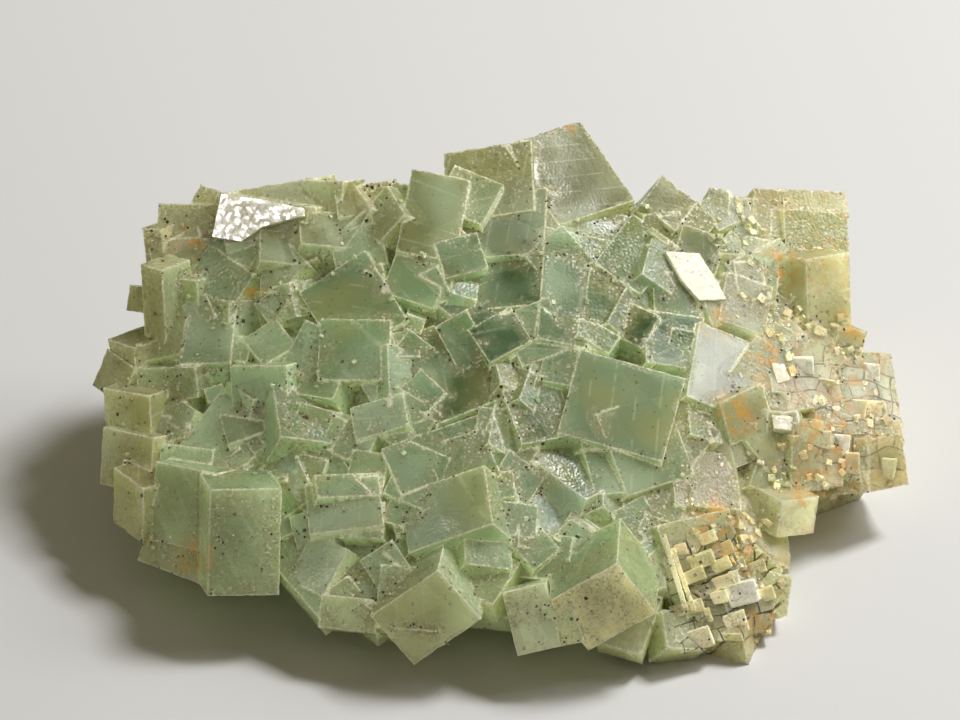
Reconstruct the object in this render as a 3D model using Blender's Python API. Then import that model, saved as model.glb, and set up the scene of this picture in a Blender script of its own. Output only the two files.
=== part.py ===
# Fluorite specimen: one mass of intergrown cubic crystals, cut flat where it was broken off.
#
# The crystals are laid out as they are seen from the front, looking down at VIEW_ELEVATION.
# In that picture plane, "across" runs to the right, "up" runs up the picture, and "toward"
# runs to the viewer, all in millimetres. from_picture() turns such a place into metres with
# +Z up and the table at zero. In the end the origin is moved to the middle of the box that
# holds the specimen, at the height of the table.

import math
import random

import bmesh
import bpy
from mathutils import Matrix, Vector

# Driving dimensions, in millimetres and degrees
VIEW_ELEVATION = math.radians(40.0)
SKIN_MIDDLE = 70.5         # how far toward the viewer the surface lies at its middle
SKIN_SLOPE = 0.356         # how fast it falls back going up the picture
SKIN_BEND_UP = 0.00213     # its roundness going up
SKIN_BEND_ACROSS = 0.0045  # its roundness going across
SKIN_LEVEL = -7.0          # the height in the picture where slope and roundness are measured
CORE_DEPTH = 7.0           # how far the massive inside lies below the crystals' tips
CORE_MIDDLE = (2.0, -6.0)
CORE_RINGS = (0.3, 0.6, 0.85, 1.0)
FOOT_MIDDLE = (0.0, -48.0)
FOOT_BELOW = 3.0           # the mass goes this far below the table before it is cut flat
CRYSTAL_DEPTHS = (17.0, 14.0, 11.0, 8.0, 6.0, 4.5)  # how far a crystal may reach inward
NARROW_DEPTH = 8.0         # the most for a narrow one, and what others have to their width
DEPTH_TO_WIDTH = 2.4
STEEPEST = 55              # in degrees, how far an edge of its face may dip
OVERHANG = 3.0             # how far its back may show outside the outline
RELIEF = 0.35              # one step of a large crystal's standing proud
GROWTH = 0.6               # how far a large crystal's face runs on past each of its sides
GROUND_CORNER = (-200.0, -300.0, -100.0)  # the block of ground that cuts the foot flat
GROUND_SIDES = ((400.0, 0.0, 0.0), (0.0, 400.0, 0.0), (0.0, 0.0, 100.0))
MILLIMETRE = 0.001
SEED = 11

# The specimen's outline as seen from the front, which no hidden crystal may cross
OUTLINE = (
    (-77.6, -4.4), (-73.8, -2.4), (-74.0, 0.4), (-70.4, 2.0), (-68.2, 6.0), (-69.2, 10.0),
    (-70.6, 13.2), (-68.0, 16.2), (-66.4, 20.0), (-67.0, 24.0), (-64.6, 25.4), (-64.6, 30.4),
    (-58.4, 30.8), (-56.0, 35.0), (-51.8, 34.0), (-41.0, 36.2), (-29.4, 37.2), (-23.6, 35.8),
    (-16.4, 34.4), (-13.0, 38.0), (-7.6, 38.0), (-6.8, 40.8), (6.2, 43.2), (13.0, 45.6),
    (19.6, 47.2), (24.0, 40.0), (30.2, 32.4), (36.2, 36.6), (42.4, 32.0), (49.8, 33.8),
    (51.4, 32.2), (59.8, 34.0), (72.0, 33.8), (74.0, 31.0), (74.4, 8.0), (77.4, 4.8),
    (82.0, 1.6), (84.4, -9.0), (85.2, -13.0), (86.4, -23.0), (80.6, -26.2), (70.0, -24.4),
    (67.6, -29.4), (66.0, -32.8), (61.2, -35.0), (62.4, -47.2), (55.0, -56.0), (44.0, -61.8),
    (40.0, -59.6), (38.4, -57.6), (32.0, -58.0), (22.0, -57.8), (14.0, -55.2), (9.0, -57.6),
    (4.0, -50.0), (0.4, -50.0), (-8.0, -57.0), (-13.4, -60.2), (-22.0, -53.6), (-31.0, -52.6),
    (-37.0, -45.0), (-40.8, -46.0), (-56.0, -45.0), (-68.6, -40.0), (-73.0, -30.0),
    (-76.4, -17.0), (-74.0, -13.0), (-76.4, -7.0),
)

# The outline of the massive inside, a few millimetres in from the outer crystals
CORE_OUTLINE = (
    (-66, -6), (-62, 12), (-59, 24), (-48, 29), (-29, 31), (-15, 31), (-4, 36), (8, 39),
    (18, 41), (27, 32), (37, 30), (49, 27), (62, 29), (70, 29), (70, 12), (75, -2),
    (80, -10), (80, -21), (68, -23), (60, -33), (56, -45), (54, -52), (45, -56), (29, -53),
    (10, -52), (-6, -50), (-15, -54), (-28, -48), (-40, -40), (-54, -39), (-66, -33), (-71, -22),
)

# Each large crystal by its nearest corner, the two edges of the face that looks at the
# viewer, all as (across, up), and how many steps the corner stands proud of the surface
LARGE_CRYSTALS = {
    # the upper left
    "mirror slab": ((-53.8, 24.6), (1.2, 8.6), (17.8, -2.8), 1),
    "back bar": ((-28.0, 27.2), (-1.4, 9.6), (-22.8, -3.6), -3),
    "striped knob": ((-54.2, 28.8), (2.4, 4.6), (-4.4, 1.4), 0),
    "corner block": ((-53.6, 23.6), (0.2, 7.2), (-11.0, 0.2), 0),
    "corner chip": ((-63.8, 19.6), (-0.8, 6.2), (-3.0, 0.2), 0),
    "rim knob": ((-66.6, 9.8), (0.6, 4.2), (-4.0, 0.6), 0),
    "rim face": ((-63.4, 3.6), (-0.8, 14.0), (-3.6, 1.0), -1),
    "rim chip": ((-69.4, -3.2), (-0.4, 5.2), (-4.6, 1.6), 0),
    "left tip": ((-72.4, -8.4), (2.6, 6.4), (-5.0, 3.6), 1),
    "left lump upper": ((-66.0, -17.0), (-0.6, 9.4), (-8.6, 1.4), 1),
    "left lump middle": ((-66.4, -26.4), (0.6, 10.4), (-9.4, 2.0), 2),
    "left lump lower": ((-67.8, -36.0), (0.2, 10.0), (-5.4, 3.8), 2),
    "olive ridge": ((-36.0, 19.6), (0.0, 5.4), (-7.6, 0.8), 1),
    "big green left": ((-15.2, 8.2), (-8.0, 13.2), (-12.4, -8.0), 2),
    "olive plate": ((-43.6, 13.6), (0.4, 12.4), (6.6, 0.6), 1),
    "smooth slanted face": ((-51.6, 8.4), (5.6, 8.6), (-8.4, 5.6), 2),
    "face beside it": ((-56.8, 8.4), (-0.4, 7.2), (-7.2, 0.4), 0),
    "face under the corner": ((-53.0, 19.6), (0.4, 4.4), (-10.0, 0.0), 0),
    "dark face under the bar": ((-27.0, 23.0), (-0.4, 6.0), (-8.4, 0.8), -1),
    "face below the green": ((-18.8, -3.6), (0.6, 11.2), (-13.2, 0.2), 1),
    "yellow olive face": ((-30.0, -16.0), (-1.6, 9.6), (-9.2, 1.2), 1),
    "fan crown": ((-38.6, -10.4), (-0.6, 8.8), (-10.4, 0.0), 2),
    "fan strip": ((-39.0, -23.6), (3.6, 9.2), (-4.8, -0.8), 2),
    "pale triangle": ((-32.4, -24.4), (1.6, 4.4), (-4.4, 0.8), 3),
    "left shelf": ((-68.0, -7.6), (-0.6, 5.4), (11.2, 0.4), 0),
    "glitter face": ((-65.0, -16.2), (0.0, 8.8), (5.8, 1.2), 1),
    "fan face": ((-49.4, -24.0), (8.4, 11.2), (-10.2, 6.8), 4),
    "pale cube": ((-24.4, -15.4), (-1.0, 5.6), (9.6, 2.8), 3),
    # the top, middle
    "dark olive wedge": ((-20.4, 24.0), (4.8, 5.2), (-3.2, 5.2), 0),
    "tan back left": ((-22.8, 29.6), (-0.8, 6.2), (-5.2, -0.4), -2),
    "tan back right": ((-22.8, 29.4), (-0.6, 5.4), (6.0, 1.0), -2),
    "back chip": ((-15.2, 32.0), (0.4, 2.8), (-2.4, 0.6), -2),
    "leaning slab": ((-5.4, 20.2), (3.0, 15.6), (-10.8, 2.0), 2),
    "summit left": ((10.4, 30.6), (-0.6, 13.2), (-16.6, -2.6), -1),
    "summit": ((16.0, 27.6), (14.4, 4.8), (-10.4, 15.4), 0),
    "upper panel": ((12.2, 22.0), (0.8, 12.2), (-15.8, -1.4), 3),
    "lower panel": ((11.6, 11.6), (1.2, 14.4), (-16.2, -1.4), 1),
    "dark green wedge": ((1.4, 3.8), (16.6, 10.4), (-10.0, 7.8), 2),
    "tall pale panel": ((12.0, 4.8), (1.6, 21.4), (13.2, -2.8), 4),
    "upper strip": ((12.2, 24.0), (1.0, 9.8), (16.6, -5.2), 1),
    "right diamond": ((32.0, 13.6), (7.2, 9.2), (-8.4, 6.0), 2),
    "small round crystal": ((38.4, 13.8), (2.0, 7.2), (-5.4, 3.6), 3),
    "white plate": ((44.0, 11.6), (-5.8, 9.2), (6.2, 0.8), 3),
    "emerald diamond": ((26.0, 7.6), (4.8, 8.8), (9.8, -8.6), 3),
    "small diamond": ((25.6, 2.0), (1.8, 2.6), (-4.0, 2.2), 3),
    "white block": ((44.4, 7.2), (-2.6, -14.0), (13.2, -5.6), 6),
    # the far right
    "tan dome": ((39.2, 26.6), (3.8, 5.2), (-6.2, 4.8), -2),
    "olive chip": ((41.6, 20.4), (2.8, 4.0), (-3.6, 2.0), 0),
    "olive back": ((44.0, 23.8), (3.2, 4.2), (-5.6, 4.0), -2),
    "back peak": ((48.2, 26.6), (5.2, 2.4), (-3.6, 5.0), -2),
    "back peak left": ((49.6, 29.2), (0.2, 4.6), (-3.2, 0.4), -3),
    "back peak right": ((57.6, 27.6), (-0.4, 4.0), (-4.0, 0.6), -3),
    "brown back": ((58.0, 22.4), (0.2, 9.6), (-6.4, 0.4), -1),
    "grey diagonal": ((51.6, 17.2), (12.0, 6.4), (-4.4, 4.8), 1),
    "smooth green": ((59.2, 11.6), (0.8, 11.8), (-6.4, 1.2), 0),
    "yellow hollow": ((64.0, 15.6), (1.2, 4.0), (-4.6, 1.0), 1),
    "corner block right": ((62.0, 21.6), (-0.4, 8.4), (12.0, -0.8), 3),
    "corner block crown": ((61.6, 30.0), (-0.8, 4.2), (12.6, -0.6), 0),
    "corner block side": ((61.2, 25.4), (-0.4, 8.4), (-5.0, 0.4), 1),
    "right column": ((74.4, 6.8), (-0.4, 14.4), (-8.0, -1.4), 1),
    "column chip": ((76.4, 1.4), (1.0, 3.8), (-4.8, 0.8), 2),
    "right green": ((63.2, 4.8), (3.2, 9.2), (-6.4, 2.0), 1),
    "cream lump": ((56.8, 5.6), (1.6, 8.8), (-8.4, 2.8), 3),
    "cream strip": ((53.0, 12.0), (3.4, 6.0), (-5.2, 2.4), 1),
    # the sugary block on the right
    "sugar block top": ((74.6, -15.2), (-2.4, 17.0), (10.4, -1.0), 3),
    "sugar block corner": ((85.8, -24.6), (-1.2, 9.4), (-8.6, -1.6), 3),
    "sugar block middle": ((77.6, -25.6), (-0.4, 9.4), (-5.6, 0.0), 3),
    "sugar cube": ((72.4, -24.8), (0.0, 6.8), (-4.6, 0.2), 4),
    "sugar block inner": ((68.0, -25.6), (0.4, 12.8), (-5.4, -0.2), 2),
    "sugar shelf": ((64.0, -7.8), (-1.2, 12.2), (12.2, -2.0), 3),
    "sugar shelf lower": ((70.0, -16.2), (-1.0, 9.8), (11.2, -1.4), 3),
    "white glint": ((59.0, -5.8), (-1.2, 7.6), (5.6, -0.8), 4),
    "below the glint": ((58.0, -13.0), (-1.0, 8.2), (6.2, -0.8), 3),
    "stained top": ((58.4, -12.8), (-7.8, -3.6), (-2.2, 7.6), 2),
    "dark green step": ((48.0, -16.0), (-0.4, 6.8), (-5.6, 1.6), 1),
    "olive wedge": ((63.2, -26.2), (3.6, 4.2), (-10.8, 8.8), 1),
    "small glint": ((62.4, -14.4), (0.2, 3.6), (-4.6, 0.2), 2),
    "cream spur": ((66.4, -34.2), (1.0, 6.4), (-6.6, -0.8), 1),
    # the frosted slope and the etched bricks, lower right
    "frosted face": ((39.4, -28.2), (-1.2, 10.2), (12.4, -1.2), 5),
    "frosted slope": ((52.8, -37.6), (-2.0, 15.6), (9.2, -3.6), 3),
    "frosted lower": ((42.0, -38.6), (-1.4, 10.6), (12.0, -1.4), 4),
    "upper brick": ((37.4, -39.6), (-1.6, 6.4), (13.6, 3.0), 5),
    "middle brick": ((41.0, -43.4), (-1.4, 4.2), (10.4, 2.6), 5),
    "lower brick": ((43.6, -46.0), (-1.4, 3.8), (10.0, 2.6), 5),
    "bright brick": ((49.8, -50.0), (-1.4, 4.2), (6.2, 2.2), 6),
    "brick leg": ((41.8, -50.6), (-4.0, 11.0), (4.6, 1.8), 4),
    "brick edge": ((60.8, -50.4), (1.0, 6.8), (-6.6, 1.8), 3),
    "low lump": ((44.4, -57.0), (-1.0, 6.6), (-6.8, 0.4), 4),
    "low middle": ((52.4, -56.0), (0.6, 7.2), (-8.0, 1.4), 4),
    "low right": ((57.6, -54.4), (0.8, 6.4), (-6.0, 0.8), 3),
    "lowest block": ((53.0, -60.8), (-1.4, 6.0), (-12.8, 0.0), 3),
    # the bottom, middle and left
    "pale shield": ((21.6, -57.0), (12.6, 7.0), (-7.2, 9.2), 3),
    "behind the shield": ((31.6, -57.8), (4.0, 10.4), (-7.8, 2.2), 0),
    "olive middle": ((24.0, -46.4), (10.0, 6.0), (-8.0, 8.8), 3),
    "foot block": ((7.8, -58.0), (-2.8, 11.6), (7.6, 1.8), 3),
    "foot chip": ((15.2, -56.4), (-2.6, 7.0), (4.8, 1.0), 1),
    "hanging wedge": ((-13.0, -59.8), (12.6, 8.6), (-8.0, 9.0), -8),
    "ledge block": ((-8.6, -53.2), (1.2, 11.4), (-11.8, 0.8), 6),
    "brown foot": ((-21.2, -53.6), (0.6, 5.6), (-10.4, 1.0), 2),
    "grey block": ((-19.6, -32.4), (-1.0, 9.0), (-13.8, -1.6), 5),
    "grey block top": ((-20.0, -26.4), (-0.6, 3.6), (-11.8, -0.4), 4),
    "frosty star": ((-21.2, -49.0), (6.2, 4.6), (-17.2, 12.8), 5),
    "fan left": ((-43.6, -36.6), (-3.8, 8.2), (12.0, 5.2), 4),
    "fan lower": ((-31.6, -50.8), (5.6, 4.2), (-13.4, 15.4), 3),
    "stepped slab": ((-40.4, -46.2), (0.6, 20.2), (-13.2, -0.2), 2),
    "round block": ((-65.4, -35.6), (1.0, 14.8), (11.4, -2.2), 3),
    "lower flange": ((-68.0, -39.6), (1.8, 5.2), (13.6, -5.0), 1),
    # the middle
    "deep green face": ((-8.4, -12.2), (12.4, 5.0), (-8.0, 15.8), -2),
    "slanted slab": ((-15.4, -26.0), (20.6, 7.2), (-3.6, 8.2), 4),
    "jade front": ((-13.8, -37.6), (-1.6, 10.6), (15.8, 5.6), 3),
    "dark cut": ((2.2, -16.4), (1.4, 8.6), (11.8, -7.0), 2),
    "speckled pair right": ((8.4, -7.6), (3.8, 10.6), (8.0, -7.2), 4),
    "speckled pair left": ((4.6, -4.4), (-1.4, 5.6), (7.6, -2.4), 2),
    "broad top face": ((20.4, 1.6), (-4.4, -15.6), (20.0, -5.6), 4),
    "tall pillar": ((24.0, -28.8), (-0.6, 17.8), (-6.6, -2.8), 5),
    "glowing face": ((29.6, -26.4), (-5.8, 15.4), (12.6, 4.0), 4),
    "green step": ((39.4, -32.2), (2.6, 7.0), (-10.6, 3.4), 4),
    "blue window": ((8.2, -36.4), (-0.4, 16.4), (8.4, -2.0), 4),
    "green foot": ((22.0, -40.0), (4.0, 4.4), (-6.8, 5.0), 4),
    "white shard": ((2.4, -47.8), (5.0, 7.6), (-7.0, 3.2), 3),
    "foot facet": ((6.0, -41.0), (-0.6, 10.0), (-8.4, 1.2), 2),
}

# The smaller crystals between them: spacing, least and greatest width, how far the middle
# keeps from the edge of a large crystal's face (less than nothing: it may lie on the face)
SMALL_CRYSTALS = ((9.0, 7.0, 12.5, -2.8), (6.9, 4.0, 7.5, -0.3))
SMALL_GRID = (-82.0, -61.0, 170.0, 110.0)  # left and lower end of their grid, its width, height
SMALL_JITTER = 0.3         # how far one is moved on the grid, in spacings
SMALL_HEIGHTS = (0.7, 1.3)  # its height in the picture, to its width
SMALL_STANDING = (-2.0, 0.3)  # how far it stands proud of the surface
SMALL_REACH = 14.0         # its length, most of it inside the mass
SMALL_TILT = 0.42          # the spread of its lean, in radians
SMALL_OVERHANG = 0.8       # how far a corner may lie outside the outline

# The crystals of the back, the sides and the overhangs
HIDDEN_COUNT = 58
HIDDEN_TRIES = 900
HIDDEN_SIZE = (7.0, 18.0)
HIDDEN_FACING = 0.2        # only on faces that look away from the viewer more than this
HIDDEN_COVER = 1.0         # every corner lies this far behind the front surface
HIDDEN_JITTER = 3.0
HIDDEN_SUNK = (0.18, 0.4)  # how far its middle is sunk in the mass, in widths
HIDDEN_TILT = 0.35
LOWEST_HIDDEN = 3.0        # no face with its middle lower than this carries one

# How the massive inside swells and draws in below its rim, to the height of the rim
BACK_SWELL = 0.26          # how far the back stands out at half its height
SIDE_TUCK = 0.12           # and how far the sides and the front draw in there
FRONT_TUCK = 1.2           # how far the front draws in at the foot
FOOT_TUCK = 0.08           # and how far the back and the sides do
FOOT_DRAW = 3.0            # the foot draws in by this much more, in millimetres


def from_picture(across, up, toward):
    """A place in the picture plane, in millimetres, as a world position in metres."""
    y = up * math.sin(VIEW_ELEVATION) - toward * math.cos(VIEW_ELEVATION)
    z = up * math.cos(VIEW_ELEVATION) + toward * math.sin(VIEW_ELEVATION)
    return Vector((across, y, z)) * MILLIMETRE


def to_picture(place):
    """The picture-plane place, in millimetres, of a world position in metres."""
    up = place.y * math.sin(VIEW_ELEVATION) + place.z * math.cos(VIEW_ELEVATION)
    toward = place.z * math.sin(VIEW_ELEVATION) - place.y * math.cos(VIEW_ELEVATION)
    return place.x / MILLIMETRE, up / MILLIMETRE, toward / MILLIMETRE


def skin(across, up):
    """How far toward the viewer the general surface of the specimen lies."""
    level = up - SKIN_LEVEL
    rise = SKIN_SLOPE * level + SKIN_BEND_UP * level * level
    return SKIN_MIDDLE - rise - SKIN_BEND_ACROSS * across * across


def fall(start, edge):
    """How steeply the general surface falls back along an edge, as a tangent."""
    length = math.hypot(*edge)
    drop = skin(*start) - skin(start[0] + edge[0], start[1] + edge[1])
    return drop / length


def dips(start, edge_a, edge_b, side):
    """Tangents of the two edges' dips away from the viewer.

    The edges are square to each other in space, so the product of the two tangents is
    minus the cosine of the angle between them in the picture. Of all such pairs with edge
    a dipping away (side 1) or toward the viewer (side -1), this is the one nearest to the
    slope of the general surface."""
    angle = math.atan2(edge_b[1], edge_b[0]) - math.atan2(edge_a[1], edge_a[0])
    product = -math.cos(angle)
    want_a = fall(start, edge_a)
    want_b = fall(start, edge_b)
    best = None
    for degrees in range(1, STEEPEST + 1):
        dip_a = side * math.tan(math.radians(degrees))
        dip_b = product / dip_a
        miss = (dip_a - want_a) ** 2 + (dip_b - want_b) ** 2
        if best is None or miss < best[0]:
            best = (miss, dip_a, dip_b)
    return best


def block(corner, edge_a, edge_b, edge_c):
    """The eight corners and six faces of a box, faces pointing out."""
    if edge_a.cross(edge_b).dot(edge_c) < 0:
        edge_a, edge_b = edge_b, edge_a
    corners = []
    for c in (0, 1):
        for b in (0, 1):
            for a in (0, 1):
                corners.append(corner + edge_a * a + edge_b * b + edge_c * c)
    faces = [(0, 2, 3, 1), (4, 5, 7, 6), (0, 1, 5, 4), (2, 6, 7, 3), (0, 4, 6, 2), (1, 3, 7, 5)]
    return corners, faces


def grown(start, side_a, side_b):
    """The face made larger all round in its own plane, so that neighbours meet and cut."""
    more_a = side_a.normalized() * GROWTH * MILLIMETRE
    more_b = side_b.normalized() * GROWTH * MILLIMETRE
    return start - more_a - more_b, side_a + 2 * more_a, side_b + 2 * more_b


def large_crystal(corner, edge_a, edge_b, proud):
    """A box whose front face covers the given corner and edges in the picture.

    It is as deep as it can be without its back showing outside the specimen's outline."""
    toward = skin(*corner) + proud * RELIEF
    start = from_picture(corner[0], corner[1], toward)
    made = None
    for _, dip_a, dip_b in sorted(dips(corner, edge_a, edge_b, side) for side in (1, -1)):
        side_a = from_picture(edge_a[0], edge_a[1], -dip_a * math.hypot(*edge_a))
        side_b = from_picture(edge_b[0], edge_b[1], -dip_b * math.hypot(*edge_b))
        inward = side_a.cross(side_b).normalized()
        if inward.dot(from_picture(0, 0, 1)) > 0:
            inward = -inward
        corner_place, side_a, side_b = grown(start, side_a, side_b)
        deepest = max(NARROW_DEPTH, DEPTH_TO_WIDTH * min(math.hypot(*edge_a), math.hypot(*edge_b)))
        for depth in [value for value in CRYSTAL_DEPTHS if value <= deepest]:
            made = block(corner_place, side_a, side_b, inward * depth * MILLIMETRE)
            if all(inside(to_picture(point), OVERHANG) for point in made[0][4:]):
                return made
    return made


def covered(across, up, margin):
    """Whether a large crystal's front face already covers this place in the picture."""
    for corner, edge_a, edge_b, _ in LARGE_CRYSTALS.values():
        area = edge_a[0] * edge_b[1] - edge_a[1] * edge_b[0]
        x = across - corner[0]
        y = up - corner[1]
        part_a = (x * edge_b[1] - y * edge_b[0]) / area
        part_b = (edge_a[0] * y - edge_a[1] * x) / area
        slack_a = margin / math.hypot(*edge_a)
        slack_b = margin / math.hypot(*edge_b)
        if -slack_a < part_a < 1 + slack_a and -slack_b < part_b < 1 + slack_b:
            return True
    return False


def inside_outline(across, up, outline):
    """Whether a place lies inside a closed outline."""
    inside = False
    for i in range(len(outline)):
        x1, y1 = outline[i]
        x2, y2 = outline[i - 1]
        if (y1 > up) != (y2 > up) and across < (x2 - x1) * (up - y1) / (y2 - y1) + x1:
            inside = not inside
    return inside


def inside(place, slack):
    """Whether a picture-plane place lies inside the outline, or outside it by the slack."""
    from_middle = Vector((place[0] - CORE_MIDDLE[0], place[1] - CORE_MIDDLE[1]))
    if from_middle.length <= slack:
        return True
    nearer = from_middle * (1 - slack / from_middle.length)
    return inside_outline(nearer.x + CORE_MIDDLE[0], nearer.y + CORE_MIDDLE[1], OUTLINE)


def hidden_from_front(point):
    """Whether a world position lies inside the outline and behind the front surface."""
    place = to_picture(point)
    return place[2] < skin(place[0], place[1]) - HIDDEN_COVER and inside(place, 0.0)


def turned_block(middle, normal, size, turn, tilt, chance):
    """A box around middle, its top facing along normal but for a small tilt."""
    axis = Vector((chance.uniform(-1, 1), chance.uniform(-1, 1), chance.uniform(-1, 1)))
    normal = Matrix.Rotation(tilt, 3, axis.normalized()) @ normal
    across = normal.orthogonal().normalized()
    across = Matrix.Rotation(turn, 3, normal) @ across
    along = normal.cross(across)
    a = across * size[0] * MILLIMETRE
    b = along * size[1] * MILLIMETRE
    c = normal * size[2] * MILLIMETRE
    return block(middle - a / 2 - b / 2 - c / 2, a, b, c)


def small_crystals(chance):
    """Smaller crystals of the front, in the gaps that the large ones leave."""
    found = []
    left, bottom, grid_width, grid_height = SMALL_GRID
    for spacing, least, greatest, margin in SMALL_CRYSTALS:
        for i in range(int(grid_width / spacing)):
            for j in range(int(grid_height / spacing)):
                moved = chance.uniform(-SMALL_JITTER, SMALL_JITTER)
                across = left + (i + 0.5 * (j % 2) + moved) * spacing
                up = bottom + (j + chance.uniform(-SMALL_JITTER, SMALL_JITTER)) * spacing
                width = chance.uniform(least, greatest)
                height = width * chance.uniform(*SMALL_HEIGHTS)
                turn = chance.uniform(0, math.pi)
                tilt = chance.gauss(0, SMALL_TILT)
                depth = chance.uniform(*SMALL_STANDING)
                if covered(across, up, margin):
                    continue
                if not inside_outline(across, up, CORE_OUTLINE):
                    continue
                level = skin(across, up) + depth - SMALL_REACH / 2
                middle = from_picture(across, up, level)
                slope_up = SKIN_SLOPE + 2 * SKIN_BEND_UP * (up - SKIN_LEVEL)
                slope_across = 2 * SKIN_BEND_ACROSS * across
                normal = from_picture(slope_across, slope_up, 1).normalized()
                size = (width, height, SMALL_REACH)
                made = turned_block(middle, normal, size, turn, tilt, chance)
                if all(inside(to_picture(point), SMALL_OVERHANG) for point in made[0]):
                    found.append(made)
    return found


def core_mesh():
    """The massive inside: a faceted mound under the front surface, closed behind and below."""
    points = []
    rings = []
    for part in CORE_RINGS:
        ring = []
        for across, up in CORE_OUTLINE:
            x = CORE_MIDDLE[0] + (across - CORE_MIDDLE[0]) * part
            y = CORE_MIDDLE[1] + (up - CORE_MIDDLE[1]) * part
            ring.append(len(points))
            points.append(from_picture(x, y, skin(x, y) - CORE_DEPTH))
        rings.append(ring)
    rim = [points[i].copy() for i in rings[-1]]
    foot = Vector((FOOT_MIDDLE[0], FOOT_MIDDLE[1], 0)) * MILLIMETRE
    waist = []
    base = []
    for place in rim:
        out = Vector((place.x - foot.x, place.y - foot.y, 0)).normalized()
        backward = max(0.0, out.y)
        swell = BACK_SWELL * backward - SIDE_TUCK * (1 - backward)
        middle = place + out * place.z * swell
        middle.z = place.z * 0.5
        waist.append(middle)
        forward = max(0.0, -out.y)
        tuck = FOOT_TUCK + (FRONT_TUCK - FOOT_TUCK) * forward
        low = middle - out * (tuck * place.z + FOOT_DRAW * MILLIMETRE)
        low.z = -FOOT_BELOW * MILLIMETRE
        base.append(low)
    for level in (waist, base):
        rings.append(list(range(len(points), len(points) + len(level))))
        points.extend(level)
    top = len(points)
    points.append(from_picture(*CORE_MIDDLE, skin(*CORE_MIDDLE) - CORE_DEPTH))
    bottom = len(points)
    points.append(foot - Vector((0, 0, FOOT_BELOW * MILLIMETRE)))
    count = len(CORE_OUTLINE)
    faces = []
    for i in range(count):
        j = (i + 1) % count
        faces.append((top, rings[0][j], rings[0][i]))
        for upper, lower in zip(rings, rings[1:]):
            faces.append((upper[i], upper[j], lower[j], lower[i]))
        faces.append((bottom, rings[-1][i], rings[-1][j]))
    return points, faces


def hidden_crystals(core, chance):
    """Crystals over the back, the sides and the overhangs, which the front view hides."""
    found = []
    viewer = from_picture(0, 0, 1).normalized()
    mesh = bmesh.new()
    fill(mesh, [core])
    mesh.normal_update()
    faces = []
    for face in mesh.faces:
        middle = face.calc_center_median()
        if face.normal.dot(viewer) < HIDDEN_FACING and middle.z > LOWEST_HIDDEN * MILLIMETRE:
            faces.append((middle, face.normal.copy(), face.calc_area()))
    mesh.free()
    weights = [area for _, _, area in faces]
    for _ in range(HIDDEN_TRIES):
        middle, normal, _ = chance.choices(faces, weights)[0]
        width = chance.uniform(*HIDDEN_SIZE)
        size = (width, width * chance.uniform(0.7, 1.2), width * 1.1)
        jitter = Vector([chance.uniform(-HIDDEN_JITTER, HIDDEN_JITTER) for _ in range(3)])
        jitter *= MILLIMETRE
        sunk = normal * width * chance.uniform(*HIDDEN_SUNK) * MILLIMETRE
        place = middle + jitter - sunk
        turn = chance.uniform(0, math.pi)
        made = turned_block(place, normal, size, turn, chance.gauss(0, HIDDEN_TILT), chance)
        if len(found) < HIDDEN_COUNT and all(hidden_from_front(point) for point in made[0]):
            found.append(made)
    return found


def fill(mesh, solids):
    """Adds solids, each a list of points and a list of faces, to a mesh."""
    for points, faces in solids:
        made = [mesh.verts.new(point) for point in points]
        for face in faces:
            mesh.faces.new([made[i] for i in face])


def make_object(name, solids):
    """An object that holds the given solids."""
    mesh = bmesh.new()
    fill(mesh, solids)
    data = bpy.data.meshes.new(name)
    mesh.to_mesh(data)
    mesh.free()
    item = bpy.data.objects.new(name, data)
    bpy.context.scene.collection.objects.link(item)
    return item


def combine(item, other, operation):
    """Joins or cuts item with other for good, and removes other."""
    boolean = item.modifiers.new(operation.lower(), "BOOLEAN")
    boolean.solver = "EXACT"
    boolean.operation = operation
    boolean.use_self = operation == "UNION"
    boolean.object = other
    bpy.context.view_layer.update()
    shape = bpy.data.meshes.new_from_object(item.evaluated_get(bpy.context.evaluated_depsgraph_get()))
    item.modifiers.clear()
    item.data = shape
    bpy.data.objects.remove(other)


def keep_largest_shell(mesh):
    """Deletes every separate shell but the outer skin, such as a closed gap between crystals."""
    left = set(mesh.faces)
    shells = []
    while left:
        start = left.pop()
        shell = [start]
        queue = [start]
        while queue:
            for edge in queue.pop().edges:
                for face in edge.link_faces:
                    if face in left:
                        left.remove(face)
                        shell.append(face)
                        queue.append(face)
        shells.append(shell)
    shells.sort(key=len, reverse=True)
    spare = [face for shell in shells[1:] for face in shell]
    bmesh.ops.delete(mesh, geom=spare, context="FACES")


def finish_mesh(item):
    """Keeps the outer skin alone and moves the origin to the middle of the foot."""
    mesh = bmesh.new()
    mesh.from_mesh(item.data)
    keep_largest_shell(mesh)
    bmesh.ops.triangulate(mesh, faces=mesh.faces)
    low = [min(v.co[i] for v in mesh.verts) for i in range(3)]
    high = [max(v.co[i] for v in mesh.verts) for i in range(3)]
    shift = Vector(((low[0] + high[0]) / 2, (low[1] + high[1]) / 2, low[2]))
    bmesh.ops.translate(mesh, vec=-shift, verts=mesh.verts)
    mesh.to_mesh(item.data)
    mesh.free()
    print("moved by", [round(v / MILLIMETRE, 2) for v in shift])
    print("size", [round((high[i] - low[i]) / MILLIMETRE, 1) for i in range(3)])
    print("faces", len(item.data.polygons))


def fluorite_material():
    """Pale green fluorite, glassy and half clear."""
    material = bpy.data.materials.new("green_fluorite")
    material.use_nodes = True
    shader = material.node_tree.nodes["Principled BSDF"]
    shader.inputs["Base Color"].default_value = (0.24, 0.32, 0.18, 1)
    shader.inputs["Roughness"].default_value = 0.3
    shader.inputs["Metallic"].default_value = 0.0
    shader.inputs["IOR"].default_value = 1.434
    return material


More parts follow.
